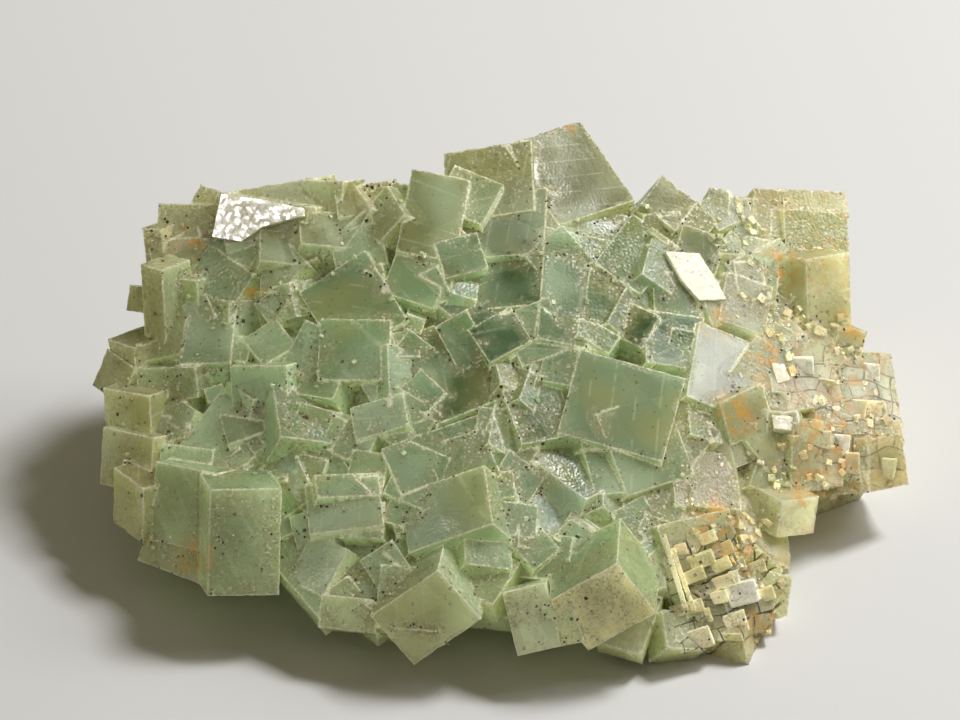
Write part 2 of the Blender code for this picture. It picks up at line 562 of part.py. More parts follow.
def main():
    for item in list(bpy.data.objects):
        bpy.data.objects.remove(item)
    chance = random.Random(SEED)
    core = core_mesh()
    crystals = [large_crystal(*row) for row in LARGE_CRYSTALS.values()]
    crystals += small_crystals(chance)
    crystals += hidden_crystals(core, chance)
    print("crystals", len(crystals))
    cluster = make_object("fluorite_cluster", [core])
    combine(cluster, make_object("crystals", crystals), "UNION")
    below = Vector(GROUND_CORNER) * MILLIMETRE
    sides = [Vector(side) * MILLIMETRE for side in GROUND_SIDES]
    cutter = make_object("cutter", [block(below, *sides)])
    combine(cluster, cutter, "DIFFERENCE")
    finish_mesh(cluster)
    cluster.data.materials.clear()
    cluster.data.materials.append(fluorite_material())


main()
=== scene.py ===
import math
import random

import bpy
import numpy as np
from mathutils import Matrix, Vector, kdtree, noise
from mathutils.bvhtree import BVHTree
from mathutils.geometry import delaunay_2d_cdt


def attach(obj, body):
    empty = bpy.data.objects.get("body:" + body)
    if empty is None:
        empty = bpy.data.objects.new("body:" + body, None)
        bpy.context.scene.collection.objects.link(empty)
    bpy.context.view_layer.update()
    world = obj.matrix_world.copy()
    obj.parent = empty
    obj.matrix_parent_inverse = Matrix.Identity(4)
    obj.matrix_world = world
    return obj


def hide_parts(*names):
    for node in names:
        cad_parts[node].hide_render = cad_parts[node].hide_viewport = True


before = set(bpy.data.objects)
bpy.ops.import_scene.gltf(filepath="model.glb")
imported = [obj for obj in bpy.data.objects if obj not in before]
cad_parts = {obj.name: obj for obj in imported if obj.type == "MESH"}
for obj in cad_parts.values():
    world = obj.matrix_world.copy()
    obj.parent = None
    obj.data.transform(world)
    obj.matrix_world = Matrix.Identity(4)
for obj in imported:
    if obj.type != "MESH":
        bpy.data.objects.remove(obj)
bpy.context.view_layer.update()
print("frame loaded")

mm = 0.001
viewElevation = math.radians(40)
# where the middle of the camera's picture meets the ground, beside the specimen's origin
pictureOrigin = Vector((-4.17, 46.29, 0)) * mm


# a place in the picture plane, in mm: across to the right, up, and toward the viewer
def fromPicture(across, up, toward):
    y = up * math.sin(viewElevation) - toward * math.cos(viewElevation)
    z = up * math.cos(viewElevation) + toward * math.sin(viewElevation)
    return Vector((across, y, z)) * mm + pictureOrigin


# the direction from the crystals to the viewer, for mathutils and for numpy
towardViewer = (fromPicture(0, 0, 1) - fromPicture(0, 0, 0)) / mm
viewAxis = np.array(fromPicture(0, 0, 1) - fromPicture(0, 0, 0)) / mm


# the same for arrays of points in metres: columns across and up, in mm
def toPicture(points):
    local = (points - np.array(pictureOrigin)) / mm
    up = local[:, 1] * math.sin(viewElevation) + local[:, 2] * math.cos(viewElevation)
    return np.stack([local[:, 0], up], 1)


crystalSettings = {
    "frontSpacing": 0.8,      # mm between points on faces that the viewer sees
    "backSpacing": 1.7,
    "footSpacing": 6.0,
    "sameFace": 0.6,          # degrees: triangles closer than this are one crystal face
    "sharpEdge": 14.0,        # degrees: a flatter edge is no crystal edge
    "edgeWear": 0.18,         # mm that the outer edges are worn down
    "chipDepth": 0.7,         # mm, where pieces of an edge are missing
    "waveDepth": 0.16,        # mm, how far a face is from flat
    "dustyRelief": 0.10,      # mm of relief on dusty faces, and on clean ones
    "cleanRelief": 0.025,
    "stepDepth": 0.12,        # mm, the growth steps of some faces
    "stepWidth": 2.2,
    "steppedShare": 0.35,     # how many of the faces have them, of those over so many mm2
    "steppedSize": 25,
    "softening": 0.50,        # how much of their relief the front crystals lose
    "levelReach": 6.0,        # mm, how far round a place its level is taken
    "levelStep": 2.0,
    "levelSpan": 9,           # steps to each side
    "deepKept": (5, 16),      # mm: what lies this far below the level stays where it is
    "lowKept": (1, 10),       # mm above the table: so does the foot
    "shelterReach": 9.0,      # mm, how far off a crystal still shelters a hollow
    "shelterRays": 10,
    "paleFrom": 0.6,          # chances above it turn a face toward pale green
    "oliveTo": 0.25,          # and below this one toward olive, by a share of:
    "otherTone": (0.1, 0.45),
    "toneSpread": (0.84, 1.16),   # how far crystal faces differ in lightness
    "paintedSideLight": 1.18,         # painted light: how much lighter upright faces are made
    "topShade": 0.58,         # and painted shade: how much darker level ones are made
    "lampShade": 0.30,        # and painted shade on those in the middle, which the lamp on the right reaches best
    "seed": 5,
}

# Colours of the mineral, and of the painted glints, as linear red, green and blue
palette = {
    "deepGreen": (0.060, 0.190, 0.060),
    "midGreen": (0.400, 0.570, 0.280),
    "paleGreen": (0.590, 0.720, 0.430),
    "olive": (0.480, 0.520, 0.210),
    "tan": (0.720, 0.580, 0.310),
    "dusty": (0.540, 0.470, 0.200),
    "summit": (0.570, 0.530, 0.260),
    "cream": (0.970, 0.830, 0.520),
    # white crystal, also painted on faces as glints where they mirror the lamps
    "white": (0.980, 0.950, 0.830),
    "blue": (0.760, 0.940, 0.800),
    # pale colour painted on the glint plates as a reflection
    "paintedGlint": (0.700, 0.660, 0.500),
    "shield": (0.940, 0.840, 0.440),
}

# Crystals of their own colour, and white painted glints: place in the picture in mm, reach, colour, strength
tonedPlaces = [
    (-44, 29, 9, "white", 0.55), (-59, 26, 8, "tan", 1), (-54, 32, 5, "tan", 1),
    (-36, 33, 12, "summit", 0.9), (-22, 33, 6, "tan", 0.9), (-66, 22, 6, "tan", 1), (-64, 8, 7, "tan", 0.6),
    (-72, -6, 9, "dusty", 1), (-70, -22, 9, "dusty", 1), (-66, -34, 8, "dusty", 0.8),
    (-54, -43, 14, "dusty", 0.6), (-40, 14, 12, "olive", 0.7), (-56, 10, 9, "olive", 0.5),
    (-50, 2, 9, "midGreen", 0.6), (-20, 14, 11, "midGreen", 0.8), (-19, 26, 6, "olive", 1),
    (-9, 30, 10, "olive", 0.8), (18, 40, 16, "summit", 1), (4, 40, 9, "summit", 0.8),
    (6, 28, 8, "paleGreen", 0.8), (0, 20, 6, "deepGreen", 0.8), (4, 11, 10, "deepGreen", 0.9),
    (20, 18, 10, "midGreen", 0.8), (35, 10, 11, "deepGreen", 1), (36, 27, 7, "summit", 0.7),
    (38, 35, 5, "tan", 1), (45, 30, 6, "olive", 0.8), (54, 32, 10, "tan", 0.7), (44, 17, 6, "white", 0.8),
    (52, 22, 9, "olive", 0.5), (58, 18, 7, "paleGreen", 0.9), (67, 28, 9, "olive", 0.9),
    (69, 34, 5, "tan", 0.9), (72, 14, 8, "shield", 0.9), (53, 10, 8, "cream", 0.8),
    (48, -1, 9, "white", 0.9), (76, -8, 14, "cream", 1), (80, -20, 10, "cream", 1),
    (66, -4, 8, "cream", 0.9), (70, -18, 8, "cream", 0.7), (60, -22, 7, "olive", 0.9),
    (53, -12, 5, "summit", 0.8), (-8, -2, 12, "deepGreen", 1), (-8, -14, 5, "deepGreen", 0.7),
    (-10, -19, 9, "midGreen", 0.9), (-6, -30, 9, "paleGreen", 0.6), (-20, -10, 6, "paleGreen", 0.7),
    (-47, -12, 10, "midGreen", 0.8), (-61, -7, 8, "olive", 0.6), (-30, -32, 8, "midGreen", 0.6),
    (-25, -38, 9, "paleGreen", 0.8), (-56, -32, 9, "paleGreen", 0.5), (-14, -46, 8, "paleGreen", 0.6),
    (-12, -55, 8, "summit", 0.7), (13, -27, 7, "blue", 0.9), (33, -14, 9, "paleGreen", 0.5),
    (26, -4, 10, "paleGreen", 0.5), (10, -7, 6, "deepGreen", 0.6), (30, -28, 8, "midGreen", 0.6),
    (44, -26, 11, "shield", 1), (55, -32, 10, "shield", 1), (45, -42, 12, "shield", 0.9),
    (47, -22, 10, "cream", 0.8), (46, -24, 8, "white", 0.2), (-29, -36, 10, "paleGreen", 1),
    (-29, -36, 8, "white", 0.3), (4.5, 29, 7, "white", 0.3), (-48, -14, 9, "paleGreen", 0.8),
    (75, -5, 13, "white", 0.5), (48, -4, 8, "white", 0.8), (53, -47, 6, "white", 0.8),
    (50, -57, 10, "dusty", 0.9), (24, -49, 10, "shield", 1), (8, -52, 8, "shield", 0.6),
    (33, -50, 6, "olive", 0.8), (64, -31, 6, "cream", 1),
]


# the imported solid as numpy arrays, with points that lie together made one
def weldedTriangles(node):
    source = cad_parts[node].data
    source.calc_loop_triangles()
    points = np.zeros(len(source.vertices) * 3)
    source.vertices.foreach_get("co", points)
    points = points.reshape(-1, 3)
    triangles = np.zeros(len(source.loop_triangles) * 3, int)
    source.loop_triangles.foreach_get("vertices", triangles)
    _, firsts, same = np.unique(points, axis=0, return_index=True, return_inverse=True)
    triangles = firsts[same.ravel()][triangles].reshape(-1, 3)
    whole = (triangles[:, 0] != triangles[:, 1]) & (triangles[:, 1] != triangles[:, 2])
    whole &= triangles[:, 0] != triangles[:, 2]
    used, triangles = np.unique(triangles[whole], return_inverse=True)
    return points[used], triangles.reshape(-1, 3)


# a vector across each triangle, as long as twice its area
def acrossTriangles(points, triangles):
    sides = points[triangles]
    return np.cross(sides[:, 1] - sides[:, 0], sides[:, 2] - sides[:, 0])


# groups of triangles that lie in one plane and touch along edges
def crystalFaces(points, triangles, limit):
    normals = acrossTriangles(points, triangles)
    areas = np.linalg.norm(normals, axis=1)
    normals /= np.maximum(areas, 1e-14)[:, None]
    touching = {}
    for i, (a, b, c) in enumerate(triangles.tolist()):
        for edge in ((a, b), (b, c), (c, a)):
            touching.setdefault((min(edge), max(edge)), []).append(i)
    nearby = [[] for _ in triangles]
    for pair in touching.values():
        if len(pair) == 2:
            nearby[pair[0]].append(pair[1])
            nearby[pair[1]].append(pair[0])
    group = np.full(len(triangles), -1)
    groups = []
    for start in np.argsort(-areas):
        if group[start] >= 0:
            continue
        number = len(groups)
        group[start] = number
        queue = [start]
        members = [start]
        while queue:
            for other in nearby[queue.pop()]:
                flat = normals[other] @ normals[start] > math.cos(math.radians(limit))
                if group[other] < 0 and (flat or areas[other] < 2e-10):
                    group[other] = number
                    queue.append(other)
                    members.append(other)
        groups.append((members, normals[start]))
    return group, groups, touching


# which flat places lie inside an outline given by its sides
def insideOutline(spots, outline):
    inside = np.zeros(len(spots), bool)
    for start, end in outline:
        crosses = (start[1] > spots[:, 1]) != (end[1] > spots[:, 1])
        height = end[1] - start[1] if end[1] != start[1] else 1e-12
        hit = start[0] + (spots[:, 1] - start[1]) * (end[0] - start[0]) / height
        inside ^= crosses & (spots[:, 0] < hit)
    return inside


# an even grid of points inside a flat outline, off its sides
def gridInside(outline, spacing, chance):
    low = outline.reshape(-1, 2).min(0)
    high = outline.reshape(-1, 2).max(0)
    rows = int((high[1] - low[1]) / (spacing * 0.866)) + 2
    columns = int((high[0] - low[0]) / spacing) + 2
    if rows * columns > 60000:
        return np.zeros((0, 2))
    row, column = np.mgrid[0:rows, 0:columns]
    x = low[0] + (column + 0.5 * (row % 2) + chance.random()) * spacing
    y = low[1] + (row + chance.random()) * spacing * 0.866
    grid = np.stack([x.ravel(), y.ravel()], 1)
    inside = insideOutline(grid, outline)
    distance = np.full(len(grid), 1e9)
    for start, end in outline:
        along = end - start
        length = max(along @ along, 1e-16)
        share = np.clip(((grid - start) @ along) / length, 0, 1)
        gap = np.linalg.norm(grid - start - share[:, None] * along, axis=1)
        distance = np.minimum(distance, gap)
    return grid[inside & (distance > spacing * 0.42)]


# the solid with each crystal face meshed anew by even triangles
def evenMesh(points, triangles, settings):
    chance = random.Random(settings["seed"])
    group, groups, touching = crystalFaces(points, triangles, settings["sameFace"])
    places = list(map(tuple, points))
    chains = {}
    borders = [[] for _ in groups]
    for edge, pair in touching.items():
        owners = [group[i] for i in pair]
        if len(owners) == 2 and owners[0] == owners[1]:
            continue
        start, end = points[edge[0]], points[edge[1]]
        length = np.linalg.norm(end - start) / mm
        seen = max(groups[i][1] @ viewAxis for i in owners)
        spacing = settings["frontSpacing"] if seen > 0.05 else settings["backSpacing"]
        count = max(1, int(round(length / spacing)))
        chain = [edge[0]]
        for k in range(1, count):
            chain.append(len(places))
            places.append(tuple(start + (end - start) * (k / count)))
        chain.append(edge[1])
        chains[edge] = (chain, owners)
        for owner in set(owners):
            borders[owner].append(chain)
    faces = []
    owners = []
    for number, (_, normal) in enumerate(groups):
        axisX = np.array(Vector(normal).orthogonal().normalized())
        axisY = np.cross(normal, axisX)
        ids = sorted({i for chain in borders[number] for i in chain})
        if len(ids) < 3:
            continue
        local = {i: k for k, i in enumerate(ids)}
        ring = np.array([places[i] for i in ids])
        middle = ring.mean(0)
        flat = np.stack([(ring - middle) @ axisX, (ring - middle) @ axisY], 1)
        sides = [(local[a], local[b]) for chain in borders[number] for a, b in zip(chain, chain[1:])]
        outline = np.array([(flat[a], flat[b]) for a, b in sides])
        seen = normal @ viewAxis
        spacing = settings["frontSpacing"] if seen > 0.05 else settings["backSpacing"]
        if normal[2] < -0.99:
            spacing = settings["footSpacing"]
        grid = gridInside(outline, spacing * mm, chance)
        scaled = np.concatenate([flat, grid]) / mm
        made = delaunay_2d_cdt([Vector(p) for p in scaled], sides, [], 2, 1e-5)
        spots = np.array([tuple(p) for p in made[0]])
        middles = spots[np.array(made[2])].mean(1)
        kept = insideOutline(middles, outline / mm)
        target = []
        for k, origins in enumerate(made[3]):
            known = [i for i in origins if i < len(ids)]
            if known:
                target.append(ids[known[0]])
            else:
                spot = middle + (axisX * made[0][k][0] + axisY * made[0][k][1]) * mm
                target.append(len(places))
                places.append(tuple(spot))
        for (a, b, c), wanted in zip(made[2], kept):
            a, b, c = target[a], target[b], target[c]
            if not wanted or a == b or b == c or a == c:
                continue
            across = np.cross(np.subtract(places[b], places[a]), np.subtract(places[c], places[a]))
            if across @ normal < 0:
                b, c = c, b
            faces.append((a, b, c))
            owners.append(number)
    # two faces back to back on the same three points hold nothing between them
    faces, owners = np.array(faces), np.array(owners)
    _, which, uses = np.unique(np.sort(faces, 1), axis=0, return_inverse=True, return_counts=True)
    alone = uses[which.ravel()] == 1
    return np.array(places), faces[alone], owners[alone], groups, chains



# clean faces of the photograph, and stained places: across and up in mm, reach
cleanPlaces = [
    (-44, 29, 10), (-36, 33, 10), (-20, 14, 11), (-9, 30, 9), (18, 40, 15), (7, 29, 8), (35, 10, 9),
    (4, 10, 9), (-9, -3, 9), (-48, -12, 9), (24, -7, 10), (60, -22, 7), (58, 17, 7), (-48, 13, 6),
    (13, -26, 7), (-12, -21, 8), (20, 17, 7), (-7, -32, 7), (36, -12, 8), (45, 18, 6), (-27, -34, 7),
    (-40, -28, 5), (28, -27, 6), (48, -4, 7),
]
stainedPlaces = [
    (-57, -39, 5), (47.5, 7.5, 4), (51, -10.5, 6), (78, -3, 6), (71, -14, 9), (67, -26, 7), (61, 19, 6),
    (17, 46, 3), (47, -32, 7), (56, -52, 6), (-46, 14, 3.5), (72, -24, 6), (59, 0, 7), (76, 8, 6),
    (52, -38, 6), (-58, 24, 4), (64, 8, 4),
]


def smooth(low, high, values):
    share = np.clip((values - low) / (high - low), 0, 1)
    return share * share * (3 - 2 * share)


# the colour of each place by where it lies in the picture
def regionTone(flat):
    across, up = flat
    green = np.array(palette["midGreen"])
    cream = smooth(38, 68, across)
    left = smooth(-52, -74, across)
    top = smooth(12, 38, up)
    low = smooth(-34, -56, up)
    tone = green
    for share, name in ((top * 0.75, "olive"), (low * 0.45, "shield"), (left * 0.8, "dusty"),
                        (cream * 0.9, "shield"), (smooth(58, 76, across) * 0.7, "cream")):
        tone = tone + (np.array(palette[name]) - tone) * share
    return tone


# the same, with the crystals that have a colour of their own and the painted glints
def placeTone(flat, seen):
    tone = regionTone(flat)
    for x, y, reach, name, strength in tonedPlaces:
        gap = math.hypot(flat[0] - x, flat[1] - y) / reach
        share = strength * seen * max(0.0, 1 - gap * gap)
        tone = tone + (np.array(palette[name]) - tone) * share
    return tone


# each crystal face's colour, cleanness and shade; the shade is painted light and shade by how the face is
# turned and where the lamp on the right reaches it
def faceLooks(groups, points, faces, owners, settings):
    chance = random.Random(settings["seed"] + 1)
    count = len(groups)
    sides = points[faces]
    areas = np.linalg.norm(acrossTriangles(points, faces), axis=1) / 2
    whole = np.bincount(owners, areas, count)
    middles = np.stack([np.bincount(owners, areas * sides[:, :, k].mean(1), count) for k in range(3)], 1)
    middles /= np.maximum(whole, 1e-14)[:, None]
    flat = toPicture(middles)
    tones = np.zeros((count, 3))
    dust = np.zeros(count)
    for i in range(count):
        normal = groups[i][1]
        seen = float(np.clip(normal @ viewAxis * 3 + 0.2, 0, 1))
        tone = placeTone(flat[i], seen)
        wild = chance.random()
        other = tone
        if wild > settings["paleFrom"]:
            other = palette["paleGreen"]
        elif wild < settings["oliveTo"]:
            other = palette["olive"]
        tone = tone + (np.array(other) - tone) * chance.uniform(*settings["otherTone"])
        across, up = flat[i]
        # painted shade where the lamp on the right reaches best, painted light on upright faces and painted
        # shade on level ones
        lit = float(smooth(-32, 6, across) * (1 - smooth(50, 66, across)) * smooth(-44, -26, up))
        tone = tone * (1 - settings["lampShade"] * lit)
        light = settings["paintedSideLight"] - settings["topShade"] * max(0.0, normal[2])
        tones[i] = np.minimum(0.97, tone * chance.uniform(*settings["toneSpread"]) * light)
        clean = max(max(0.0, 1 - (math.hypot(flat[i][0] - x, flat[i][1] - y) / reach) ** 2)
                    for x, y, reach in cleanPlaces) * seen
        size = min(1.0, whole[i] / mm ** 2 / 60)
        dust[i] = min(1.0, max(0.0, chance.uniform(0.35, 1.1) - 1.4 * clean - 0.25 * size))
    return tones, dust, whole / mm ** 2


# places along the crystals' edges: the outer ones, and those at the bottom of hollows
def edgePlaces(points, groups, chains, settings):
    outer, inner = [], []
    limit = math.cos(math.radians(settings["sharpEdge"]))
    kinds = {}
    for chain, owners in chains.values():
        first, second = groups[owners[0]][1], groups[owners[1]][1]
        if first @ second > limit:
            continue
        start, end = points[chain[0]], points[chain[-1]]
        along = end - start
        length = np.linalg.norm(along)
        kind = kinds.setdefault((chain[0], chain[-1]), turning(start, owners, groups))
        count = max(1, int(length / (0.25 * mm)))
        (outer if kind > 0 else inner).extend(start + along * ((k + 0.5) / count) for k in range(count))
    return np.array(outer), np.array(inner)


# 1 where two faces meet at an outer edge, -1 in a hollow
def turning(start, owners, groups):
    other = groups[owners[1]]
    members = rawPoints[rawTriangles[other[0]]].reshape(-1, 3)
    heights = (members - start) @ groups[owners[0]][1]
    return 1 if heights[np.argmax(np.abs(heights))] < 0 else -1


def nearestGap(places, points):
    tree = kdtree.KDTree(len(places))
    for i, place in enumerate(places):
        tree.insert(place, i)
    tree.balance()
    return np.array([tree.find(point)[2] for point in points])


# how much of the sky over each point other crystals hide, from 0 to 1
def shelter(points, normals, faces, settings):
    tree = BVHTree.FromPolygons([Vector(p) for p in points], faces.tolist())
    chance = random.Random(settings["seed"] + 2)
    rays = []
    for _ in range(settings["shelterRays"]):
        turn = chance.uniform(0, 2 * math.pi)
        height = math.sqrt(chance.random())
        flat = math.sqrt(1 - height * height)
        rays.append(Vector((flat * math.cos(turn), flat * math.sin(turn), height)))
    reach = settings["shelterReach"] * mm
    hidden = np.zeros(len(points))
    for i, (point, normal) in enumerate(zip(points, normals)):
        up = Vector(normal)
        turned = up.to_track_quat("Z", "Y")
        start = Vector(point) + up * 0.05 * mm
        for ray in rays:
            hit = tree.ray_cast(start, turned @ ray, reach)
            if hit[0] is not None:
                hidden[i] += 1 - hit[3] / reach
    return hidden / len(rays)


# wears the outer edges and roughens the faces
def carve(points, faces, owners, groups, chains, dust, sizes, outerGap, settings):
    carved = points.copy()
    normals = np.array([group[1] for group in groups])
    border = np.zeros(len(points), bool)
    wear = np.zeros((len(points), 3))
    limit = math.cos(math.radians(settings["sharpEdge"]))
    for (start, end), (chain, pair) in chains.items():
        border[chain] = True
        if normals[pair[0]] @ normals[pair[1]] > limit:
            continue
        if turning(points[start], pair, groups) > 0:
            wear[chain] -= normals[pair[0]] + normals[pair[1]]
    length = np.linalg.norm(wear, axis=1)
    worn = length > 1e-6
    wear[worn] /= length[worn][:, None]
    owner = np.zeros(len(points), int)
    owner[faces.ravel()] = np.repeat(owners, 3)
    stepped = [random.Random(i).random() < settings["steppedShare"] for i in range(len(groups))]
    steps = np.array(stepped) & (sizes > settings["steppedSize"])
    for i in range(len(points)):
        place = Vector(points[i]) / mm
        if border[i]:
            if worn[i]:
                amount = 0.35 + 0.9 * max(0.0, noise.noise(place * 0.9) + 0.25)
                chip = max(0.0, noise.noise(place * 0.35) + noise.noise(place * 1.3) * 0.4 - 0.3)
                carved[i] += wear[i] * (amount * settings["edgeWear"] + chip * settings["chipDepth"]) * mm
            continue
        face = owner[i]
        if normals[face][2] < -0.99:
            continue
        relief = settings["cleanRelief"] + (settings["dustyRelief"] - settings["cleanRelief"]) * dust[face]
        height = relief * (noise.fractal(place * 0.8, 1.0, 2.0, 3) * 0.8 - 0.2)
        inner = min(1.0, outerGap[i] / mm / 2)
        height += settings["waveDepth"] * inner * (noise.noise(place * 0.2) - 0.4)
        if steps[face]:
            done = math.floor(min(2.0, outerGap[i] / mm / settings["stepWidth"]))
            height -= settings["stepDepth"] * (1 - done / 2)
        carved[i] += normals[face] * height * mm
    return carved


# The crystals stand less proud of each other than whole cubes would: toward the viewer, the
# front is drawn part of the way to the level around it, while its outline stays
def softenRelief(points, faces, settings):
    tree = BVHTree.FromPolygons([Vector(p) for p in points], faces.tolist())
    step = settings["levelStep"]
    farOff = 200
    flat = toPicture(points)
    low = flat.min(0) - step
    columns, rows = (np.ceil((flat.max(0) - low) / step) + 2).astype(int)
    depth = np.zeros((rows, columns))
    hits = np.zeros((rows, columns))
    for j in range(rows):
        for i in range(columns):
            start = fromPicture(low[0] + i * step, low[1] + j * step, farOff)
            hit = tree.ray_cast(start, -towardViewer)
            if hit[0] is not None:
                depth[j, i] = farOff - hit[3] / mm
                hits[j, i] = 1
    span = settings["levelSpan"]
    spread = np.exp(-0.5 * (np.arange(-span, span + 1) * step / settings["levelReach"]) ** 2)
    for axis in (0, 1):
        depth = np.apply_along_axis(np.convolve, axis, depth, spread, "same")
        hits = np.apply_along_axis(np.convolve, axis, hits, spread, "same")
    level = depth / np.maximum(hits, 1e-6)
    x, y = ((flat - low) / step).T
    i, j = x.astype(int), y.astype(int)
    right, above = x - i, y - j
    near = (level[j, i] * (1 - right) + level[j, i + 1] * right) * (1 - above)
    near += (level[j + 1, i] * (1 - right) + level[j + 1, i + 1] * right) * above
    local = (points - np.array(pictureOrigin)) / mm
    height = local[:, 2] * math.sin(viewElevation) - local[:, 1] * math.cos(viewElevation)
    behind = near - height
    share = settings["softening"] * (1 - smooth(*settings["deepKept"], behind))
    share *= smooth(*settings["lowKept"], points[:, 2] / mm)
    return points + (behind * share)[:, None] * np.array(towardViewer) * mm


def addAttribute(mesh, name, kind, domain, values):
    attribute = mesh.attributes.new(name, kind, domain)
    field = {"FLOAT_COLOR": "color", "FLOAT_VECTOR": "vector"}.get(kind, "value")
    attribute.data.foreach_set(field, values.ravel())


# stains are strongest in their places, and weak all over the right side
def stainAt(flat):
    stain = smooth(48, 66, flat[:, 0]) * 0.3
    for x, y, reach in stainedPlaces:
        gap = np.hypot(flat[:, 0] - x, flat[:, 1] - y) / reach
        stain = np.maximum(stain, np.clip(1 - gap * gap, 0, 1))
    return stain


# how strongly each point is cracked into bricks, and its place along and across the rows, in mm
def crackPlaces(points, flat):
    soil = np.zeros(len(points))
    wallPlace = np.zeros((len(points), 3))
    warp = np.array([[noise.noise(Vector(p) / mm * 0.16 + Vector((k, 0, 0))) for k in (3, 9)]
                     for p in points])
    for wall in brickWalls.values():
        inside = insideOutline(flat, outlineSides(wall["outline"]))
        near = np.linalg.norm(flat - np.mean(wall["outline"], 0), axis=1) < 26
        turn = math.radians(wall["angle"])
        along = flat[:, 0] * math.cos(turn) + flat[:, 1] * math.sin(turn)
        over = flat[:, 1] * math.cos(turn) - flat[:, 0] * math.sin(turn)
        place = np.stack([along, over], 1) + warp * 2.4
        wallPlace[near & (soil == 0), :2] = place[near & (soil == 0)]
        soil = np.maximum(soil, inside * wall["soil"])
    return soil, wallPlace


def linkMesh(name, points, faces):
    mesh = bpy.data.meshes.new(name)
    mesh.from_pydata(points.tolist(), [], faces)
    mesh.update()
    item = bpy.data.objects.new(name, mesh)
    bpy.context.scene.collection.objects.link(item)
    return item


def buildCrystals():
    settings = crystalSettings
    points, faces, owners, groups, chains = evenMesh(rawPoints, rawTriangles, settings)
    print("even mesh", len(points), "points", len(faces), "triangles", len(groups), "crystal faces")
    tones, dust, sizes = faceLooks(groups, points, faces, owners, settings)
    outer, inner = edgePlaces(points, groups, chains, settings)
    outerGap = nearestGap(outer, points)
    innerGap = nearestGap(inner, points)
    print("edges", len(outer), len(inner))
    carved = carve(points, faces, owners, groups, chains, dust, sizes, outerGap, settings)
    carved = softenRelief(carved, faces, settings)
    item = linkMesh("fluorite_crystals", carved, faces.tolist())
    mesh = item.data
    normals = np.zeros(len(carved) * 3)
    mesh.vertices.foreach_get("normal", normals)
    hidden = shelter(carved, normals.reshape(-1, 3), faces, settings)
    print("shelter", hidden.mean(), hidden.max())
    flat = toPicture(carved)
    soil, wallPlace = crackPlaces(carved, flat)
    addAttribute(mesh, "Tone", "FLOAT_COLOR", "FACE", np.c_[tones, np.ones(len(tones))][owners])
    addAttribute(mesh, "Dust", "FLOAT", "FACE", dust[owners])
    addAttribute(mesh, "Chance", "FLOAT", "FACE", np.random.default_rng(3).random(len(groups))[owners])
    addAttribute(mesh, "OuterGap", "FLOAT", "POINT", outerGap / mm)
    addAttribute(mesh, "InnerGap", "FLOAT", "POINT", innerGap / mm)
    # Shelter: how much other crystals hide the sky, which the material paints as shade in the hollows
    addAttribute(mesh, "Shelter", "FLOAT", "POINT", hidden)
    addAttribute(mesh, "Stain", "FLOAT", "POINT", stainAt(flat))
    addAttribute(mesh, "Soil", "FLOAT", "POINT", soil)
    addAttribute(mesh, "Wall", "FLOAT_VECTOR", "POINT", wallPlace)
    mesh.shade_smooth()
    mesh.set_sharp_from_angle(angle=math.radians(settings["sharpEdge"]))
    planes = np.array([group[1] for group in groups])
    return item, {"points": carved, "faces": faces, "normals": planes[owners], "innerGap": innerGap / mm,
                  "tree": BVHTree.FromPolygons([Vector(p) for p in carved], faces.tolist())}


# Places of many small crystals: across and up in mm, reach, how many
druseZones = [
    (-58, 22, 12, 1), (-45, 10, 16, 0.8), (-62, 0, 12, 0.8), (-32, 22, 8, 0.9), (-14, 14, 6, 1),
    (-72, -12, 9, 0.8), (-36, 0, 14, 0.6), (-40, -20, 10, 0.5), (10, 24, 5, 0.9), (28, 2, 8, 0.5),
    (50, 26, 9, 1), (62, 10, 10, 1.2), (74, -6, 12, 1.6), (70, -20, 10, 1.6), (54, 4, 8, 1),
    (50, -28, 12, 1.6), (56, -38, 10, 1.3), (64, -30, 8, 1.2), (-14, -44, 10, 0.6), (20, -44, 10, 0.4),
    (-62, -34, 9, 0.7), (66, 30, 10, 0.6), (30, 26, 8, 0.5),
]
druseSettings = {
    "count": 2000,
    "halfSize": (0.14, 0.55),   # mm, and more on the right side
    "rightSize": 0.4,
    "sunk": 0.6,                # share of its half size that the middle lies under the face
    "onBackFaces": 0.35,
    "seed": 11,
}
soilSettings = {
    "count": 1300,
    "halfSize": (0.08, 0.26),   # mm
    "colour": (0.090, 0.062, 0.022, 1),
    "seed": 21,
}
# Etched crystals that came apart into bricks: their outline in the picture in mm, the rows'
# direction in degrees, brick and gap sizes, how far they stand out, the dirt between them
brickWalls = {
    "lowerRight": {
        "outline": [(37, -38), (44, -33), (52, -33), (58, -40), (61.5, -46), (56, -55), (51, -58),
                    (44, -61), (40, -58), (38, -52)],
        "angle": 19, "width": (4.0, 9.0), "height": (2.6, 4.6), "gap": 0.15, "proud": (0.05, 0.6),
        "tilt": 4, "colours": ("shield", "shield", "cream", "tan"), "soil": 0.95, "share": 0.5, "seed": 31,
    },
    "rightSugar": {
        "outline": [(63, 3), (74, 3), (80, 1), (83.5, -3.4), (85, -13), (85.5, -23), (81, -25.4),
                    (70, -23.6), (64, -16), (62, -8)],
        "angle": -6, "width": (3.0, 6.6), "height": (2.6, 4.6), "gap": 0.15, "proud": (0.05, 0.4),
        "tilt": 5, "colours": ("cream", "cream", "shield", "white"), "soil": 0.6, "share": 0.3, "seed": 37,
    },
}
